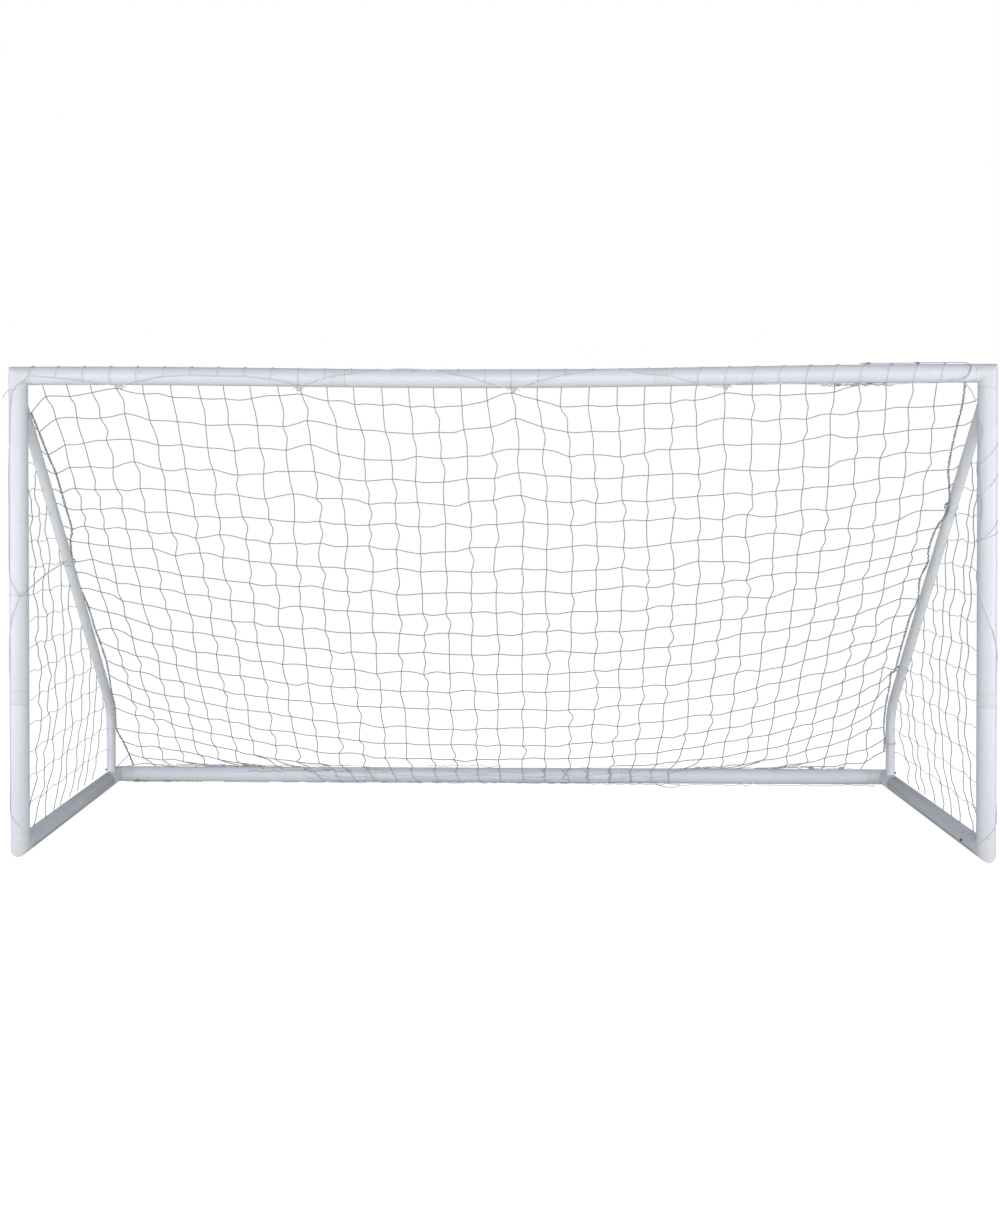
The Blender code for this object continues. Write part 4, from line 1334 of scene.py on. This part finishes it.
def wired(tree, shader, colour, roughness, height, depth):
    """Links the colour, the roughness and a bump of depth metres to the shader."""
    bump = node(tree, "Bump", Height=height, Distance=depth, Strength=1.0).outputs[0]
    for name, value in (("Base Color", colour), ("Roughness", roughness), ("Normal", bump)):
        tree.links.new(value, shader.inputs[name])


def painted_ground_shade(tree, colour, top):
    """The colour with painted shade: dark grey from a height of top downwards, where a tube lies on
    the ground.
    """
    height = node(tree, "SeparateXYZ", Vector=object_place(tree)).outputs["Z"]
    # Painted shade: #444648 from the height top downwards, where the tube meets the floor.
    return mixed(tree, spread(tree, height, 0.95, 0.0, top / 3, top), colour, "#444648")


def edge_share(tree, start, end):
    """0 where the surface faces the eye, and 1 at the outline of a round: the mask for a painted
    dark outline.
    """
    facing = node(tree, "LayerWeight", Blend=0.5).outputs["Facing"]
    return spread(tree, facing, 0.0, 1.0, start, end)


# %% [markdown]
# ** Extruded rigid PVC.** The tube is white with a faint blue cast. It came out of a
# die, so its gloss breaks up in streaks, two or three millimetres wide and as long as
# a hand. Handling has left faint grey scuffs. Along its outline each tube is painted
# dark grey, a painted reflection of the studio's dark edge, which the eye reads as a
# fine line round each white bar, and its lowest part is painted with shade where it
# lies on the ground. There are three of them: the main tube, the thinner and greyer
# stanchions, and the side bars, which are painted darker all over as shade.

# %% Tube finish
def extruded(name, dark, light, scuffed, shade_height):
    """Streaked, scuffed tube between two near whites, with a painted dark outline and painted shade
    from a given height down, where it lies on the ground.
    """
    made, tree, shader = finish(name, light, 0.40)
    streaks = noise(tree, stretched(tree, 420, 7), 1.0)
    scuffs = noise(tree, object_place(tree), 38, 6.0)
    colour = mixed(tree, spread(tree, streaks, 0, 1), dark, light)
    colour = mixed(tree, spread(tree, scuffs, 0, 0.5, 0.62, 0.74), colour, scuffed)
    # Painted reflection and shade: the outline is darkened to #80848e, and the bottom is painted
    # dark grey.
    colour = painted_ground_shade(tree, mixed(tree, edge_share(tree, 0.62, 0.92), colour, "#80848e"), shade_height)
    wired(tree, shader, colour, spread(tree, streaks, 0.34, 0.50), streaks, 0.00003)
    return made


tube_finish = extruded("extruded_white_pvc", "#e8eaf0", "#ecedf1", "#d2d4da", 0.008)
thin_tube_finish = extruded("extruded_pale_grey_pvc", "#e8eced", "#ecf0f0", "#d0d4d4", 0.010)
# The side bars' copy is painted darker all over as shade, with painted shade up to 3.2 cm.
shaded_ground_tube_finish = extruded("white_pvc_painted_shade", "#cdd4d9", "#d3dadd", "#b8bfc4", 0.032)

# %% [markdown]
# **Moulded ABS.** Couplers and elbows are whiter and more matt than the tubes, because
# the mould was spark-eroded: a grain of half a millimetre, and slow clouds in the
# colour where the melt cooled unevenly.

# %% Fitting finish
fitting_finish, tree, shader = finish("moulded_white_abs", "#e6e8ea", 0.46)
grain = noise(tree, object_place(tree), 1800, 2.0)
clouds = noise(tree, object_place(tree), 30)
colour = mixed(tree, spread(tree, clouds, 0, 1), "#e4e6ea", "#e8e9ea")
# Painted reflection: the outline is darkened to #8c8f95, like the tubes'.
colour = mixed(tree, edge_share(tree, 0.66, 0.94), colour, "#8c8f95")
wired(tree, shader, colour, spread(tree, grain, 0.40, 0.56), grain, 0.00004)

# %% [markdown]
# ** Twine and cord.** Both are laid from three strands that run round the cord like a
# screw thread: the sine of 3 a + 2 pi s / pitch, with a the turn round the cord and s
# the way along it. The grooves are painted darker, as shade, and bumped deeper. The
# net's white twine is painted grey as shade, and painted lighter where it is wound on
# the two bars. Of the cords, the head rope and the ties are white, the lacings and the
# foot rope have faded, and the edge cords and loose ends are painted as grey as the net.

# %% Twine and cord finishes
CROSSBAR_AXIS = (0.0, POST_Y, AXIS_TOP)
REAR_BAR_AXIS = (0.0, REAR_Y, TUBE_R)


def strands(tree, radius, pitch):
    """sin(3 a + 2 pi s / pitch) from the unrolled map, from 0 in the grooves to 1."""
    parts = node(tree, "SeparateXYZ", Vector=stretched(tree, 3 / radius, TAU / pitch))
    turn = maths(tree, "Math", "ADD", parts.outputs[0], parts.outputs[1])
    return spread(tree, maths(tree, "Math", "SINE", turn), 0.0, 1.0, -1.0, 1.0)


def near_bar(tree, axis):
    """1 within 4 cm of a bar along X, and 0 from 6 cm on."""
    away = maths(tree, "VectorMath", "SUBTRACT", object_place(tree), axis)
    flat = maths(tree, "VectorMath", "MULTIPLY", away, (0, 1, 1))
    return spread(tree, maths(tree, "VectorMath", "LENGTH", flat), 1.0, 0.0, 0.040, 0.060)


def laid_finish(name, groove_shade, strand, radius, pitch, bar_tones=()):
    """Laid cord between a groove shade and a strand colour, painted lighter near each of the two
    bars.
    """
    made, tree, shader = finish(name, strand, 0.85)
    thread = strands(tree, radius, pitch)
    fluff = noise(tree, object_place(tree), 700, 4.0)
    # The grooves are painted darker, as shade.
    colour = mixed(tree, thread, groove_shade, strand)
    colour = mixed(tree, spread(tree, fluff, 0.0, 0.25), colour, groove_shade)
    # Painted light: near each bar the colour is replaced by a lighter tone.
    for axis, bar_tone in zip((CROSSBAR_AXIS, REAR_BAR_AXIS), bar_tones):
        colour = mixed(tree, near_bar(tree, axis), colour, bar_tone)
    wired(tree, shader, colour, spread(tree, fluff, 0.75, 0.95), thread, radius / 12)
    return made


# The net's white twine is painted grey as shade, and painted lighter where it is wound on the two
# bars.
bar_tones = ("#e3e6ee", "#bfc3cb")
twine_finish = laid_finish("knotted_white_twine", "#9a9b9b", "#b3b4b4", TWINE_R, 0.008, bar_tones)
cord_finish = laid_finish("laid_white_cord", "#d6d8d8", "#eeefee", ROPE_TURNS_R, 0.010)
# Painted shade: the edge cords and loose ends are white cord painted as grey as the net.
seam_finish = laid_finish("white_cord_painted_grey", "#989a9c", "#b8babb", TWINE_R, 0.009)
lacing_finish = laid_finish("faded_white_cord", "#d0d2d6", "#eaecef", LACING_R, 0.009)

# %% [markdown]
# **Black acetal and spring steel.** The buttons are moulded and a little polished by
# thumbs on their domes. The springs are drawn wire strip with fine lines along it.

# %% Button and spring finishes
button_finish, tree, shader = finish("moulded_black_acetal", "#18181a", 0.35)
grain = noise(tree, object_place(tree), 1500, 2.0)
colour = mixed(tree, spread(tree, grain, 0, 1), "#131315", "#1f1f22")
wired(tree, shader, colour, spread(tree, grain, 0.26, 0.46), grain, 0.00003)
steel_finish, tree, shader = finish("spring_steel", "#9fa1a4", 0.35, Metallic=1.0)
drawn = node(tree, "Mapping", Vector=object_place(tree), Scale=(1500, 1500, 60)).outputs[0]
scratches = noise(tree, drawn, 1.0)
colour = mixed(tree, spread(tree, scratches, 0, 1), "#8f9194", "#acaeb2")
wired(tree, shader, colour, spread(tree, scratches, 0.24, 0.44), scratches, 0.00001)

# %% Dressing the pieces
thin_tubes = [obj for obj in tubes if obj.name.startswith("stanchion") and "leg" not in obj.name]
ground_tubes = [obj for obj in tubes if obj.name.startswith("side_bar")]
main_tubes = [obj for obj in tubes if obj not in thin_tubes + ground_tubes]
for pieces, material, slot in (
    (main_tubes, tube_finish, "tube_plastic"),
    (thin_tubes, thin_tube_finish, "tube_plastic"),
    (ground_tubes, shaded_ground_tube_finish, "tube_plastic"),
    (fittings, fitting_finish, "fitting_plastic"),
    (buttons, button_finish, "button_plastic"),
    ([back_net, *side_nets], twine_finish, "net_twine"),
    ([head_rope, *ties], cord_finish, "white_cord"),
    ([foot_rope, *lacings], lacing_finish, "white_cord"),
    ([head_end, foot_ends, *edge_cords], seam_finish, "white_cord"),
    (springs, steel_finish, "spring_steel"),
):
    dress(pieces, material)
    print(material.name, "on", len(pieces), "pieces")

# %% [markdown]
# ## Floor and light
#
# The goal was lit by a wide softbox behind the camera with one more to each side of
# it, two weak panels outside the posts, and soft sky light from all round. So faces
# that look forward are brightest, and the ground bars, which only look inwards and
# up, are grey. The studio is a white sweep without an edge. Its floor answers the
# lamps like paper and takes the goal's shadow. Seen by the camera it also gives off
# some white of its own, more and more with distance, so that no horizon shows.

# %% Studio
scene = bpy.context.scene
scene.view_settings.view_transform = "Standard"
FLOOR_HALF = 40.0
SWEEP_NEAR, SWEEP_FAR = 2.6, 6.5
PAPER_GLOW = 0.87
SKY_SIDE = 0.22
SKY_TOP = 0.34
KEY_POWER = 143
FILL_POWER = 82
SIDE_POWER = 29


def seen_directly(tree):
    """1 for rays from the camera, or off gloss or through glass, and 0 for light's own."""
    path = node(tree, "LightPath").outputs
    pair = maths(tree, "Math", "MAXIMUM", path["Is Camera Ray"], path["Is Glossy Ray"])
    return maths(tree, "Math", "MAXIMUM", pair, path["Is Transmission Ray"])


def add_floor():
    """A large sheet of white paper whose own glow grows from its middle outwards."""
    mesh = bpy.data.meshes.new("floor")
    corners = [(x * FLOOR_HALF, y * FLOOR_HALF, 0) for x, y in ((-1, -1), (1, -1), (1, 1), (-1, 1))]
    mesh.from_pydata(corners, [], [(0, 1, 2, 3)])
    obj = bpy.data.objects.new("floor", mesh)
    scene.collection.objects.link(obj)
    paper = bpy.data.materials.new("white_paper_sweep")
    paper.use_nodes = True
    tree = paper.node_tree
    tree.nodes.clear()
    far = maths(tree, "VectorMath", "LENGTH", object_place(tree))
    fade = spread(tree, far, 0.0, 1.0, SWEEP_NEAR, SWEEP_FAR)
    sheet = node(tree, "BsdfDiffuse", Color=linear("#d9d6d0")).outputs[0]
    glow = node(tree, "Emission", Color=(1, 1, 1, 1), Strength=PAPER_GLOW).outputs[0]
    white = node(tree, "Emission", Color=(1, 1, 1, 1), Strength=1.0).outputs[0]
    lit = node(tree, "AddShader", i0=sheet, i1=glow).outputs[0]
    sweep = node(tree, "MixShader", i0=fade, i1=lit, i2=white).outputs[0]
    shown = node(tree, "MixShader", i0=seen_directly(tree), i1=sheet, i2=sweep).outputs[0]
    node(tree, "OutputMaterial", Surface=shown)
    mesh.materials.append(paper)


def add_sky():
    """Soft light from all round, and plain white where it is seen."""
    world = bpy.data.worlds.new("studio")
    world.use_nodes = True
    tree = world.node_tree
    place = node(tree, "TexCoord").outputs["Generated"]
    height = node(tree, "SeparateXYZ", Vector=place).outputs["Z"]
    ambient = tree.nodes["Background"]
    tree.links.new(mixed(tree, height, "#f6f6f6", "#d6ddf8"), ambient.inputs["Color"])
    level = spread(tree, height, SKY_SIDE, SKY_TOP, 0.0, 1.0)
    tree.links.new(level, ambient.inputs["Strength"])
    white = node(tree, "Background", Color=(1, 1, 1, 1), Strength=1.0).outputs[0]
    mix = node(tree, "MixShader", i0=seen_directly(tree), i1=ambient.outputs[0], i2=white)
    tree.links.new(mix.outputs[0], tree.nodes["World Output"].inputs["Surface"])
    scene.world = world


def softbox(name, place, target, size, power, colour):
    """A rectangular area lamp of (width, height) at place that faces target."""
    data = bpy.data.lights.new(name, "AREA")
    data.shape = "RECTANGLE"
    data.size, data.size_y = size
    data.energy = power
    data.color = linear(colour)[:3]
    obj = bpy.data.objects.new(name, data)
    scene.collection.objects.link(obj)
    place = np.array(place, float)
    back = unit(place - target)
    right = unit(np.cross(Z, back))
    matrix = np.eye(4)
    matrix[:3] = np.stack([right, np.cross(back, right), back, place], axis=1)
    obj.matrix_world = Matrix(matrix)
    return obj


add_floor()
add_sky()
softbox("key", (0.0, -7.4, 1.9), (0, 0, 0.9), (2.4, 2.0), KEY_POWER, "#fcfdff")
for side, sign in SIDES.items():
    fill_place, panel_place = (sign * 3.6, -7.4, 1.6), (sign * 4.2, -1.6, 1.1)
    softbox(f"fill_{side}", fill_place, (0, 0, 0.9), (2.0, 2.0), FILL_POWER, "#fcfdff")
    target = (sign * 1.8, -0.4, 0.9)
    softbox(f"side_{side}", panel_place, target, (1.2, 2.2), SIDE_POWER, "#f4f7ff")
print("key", KEY_POWER, "W, fills", FILL_POWER, "W, side panels", SIDE_POWER, "W")
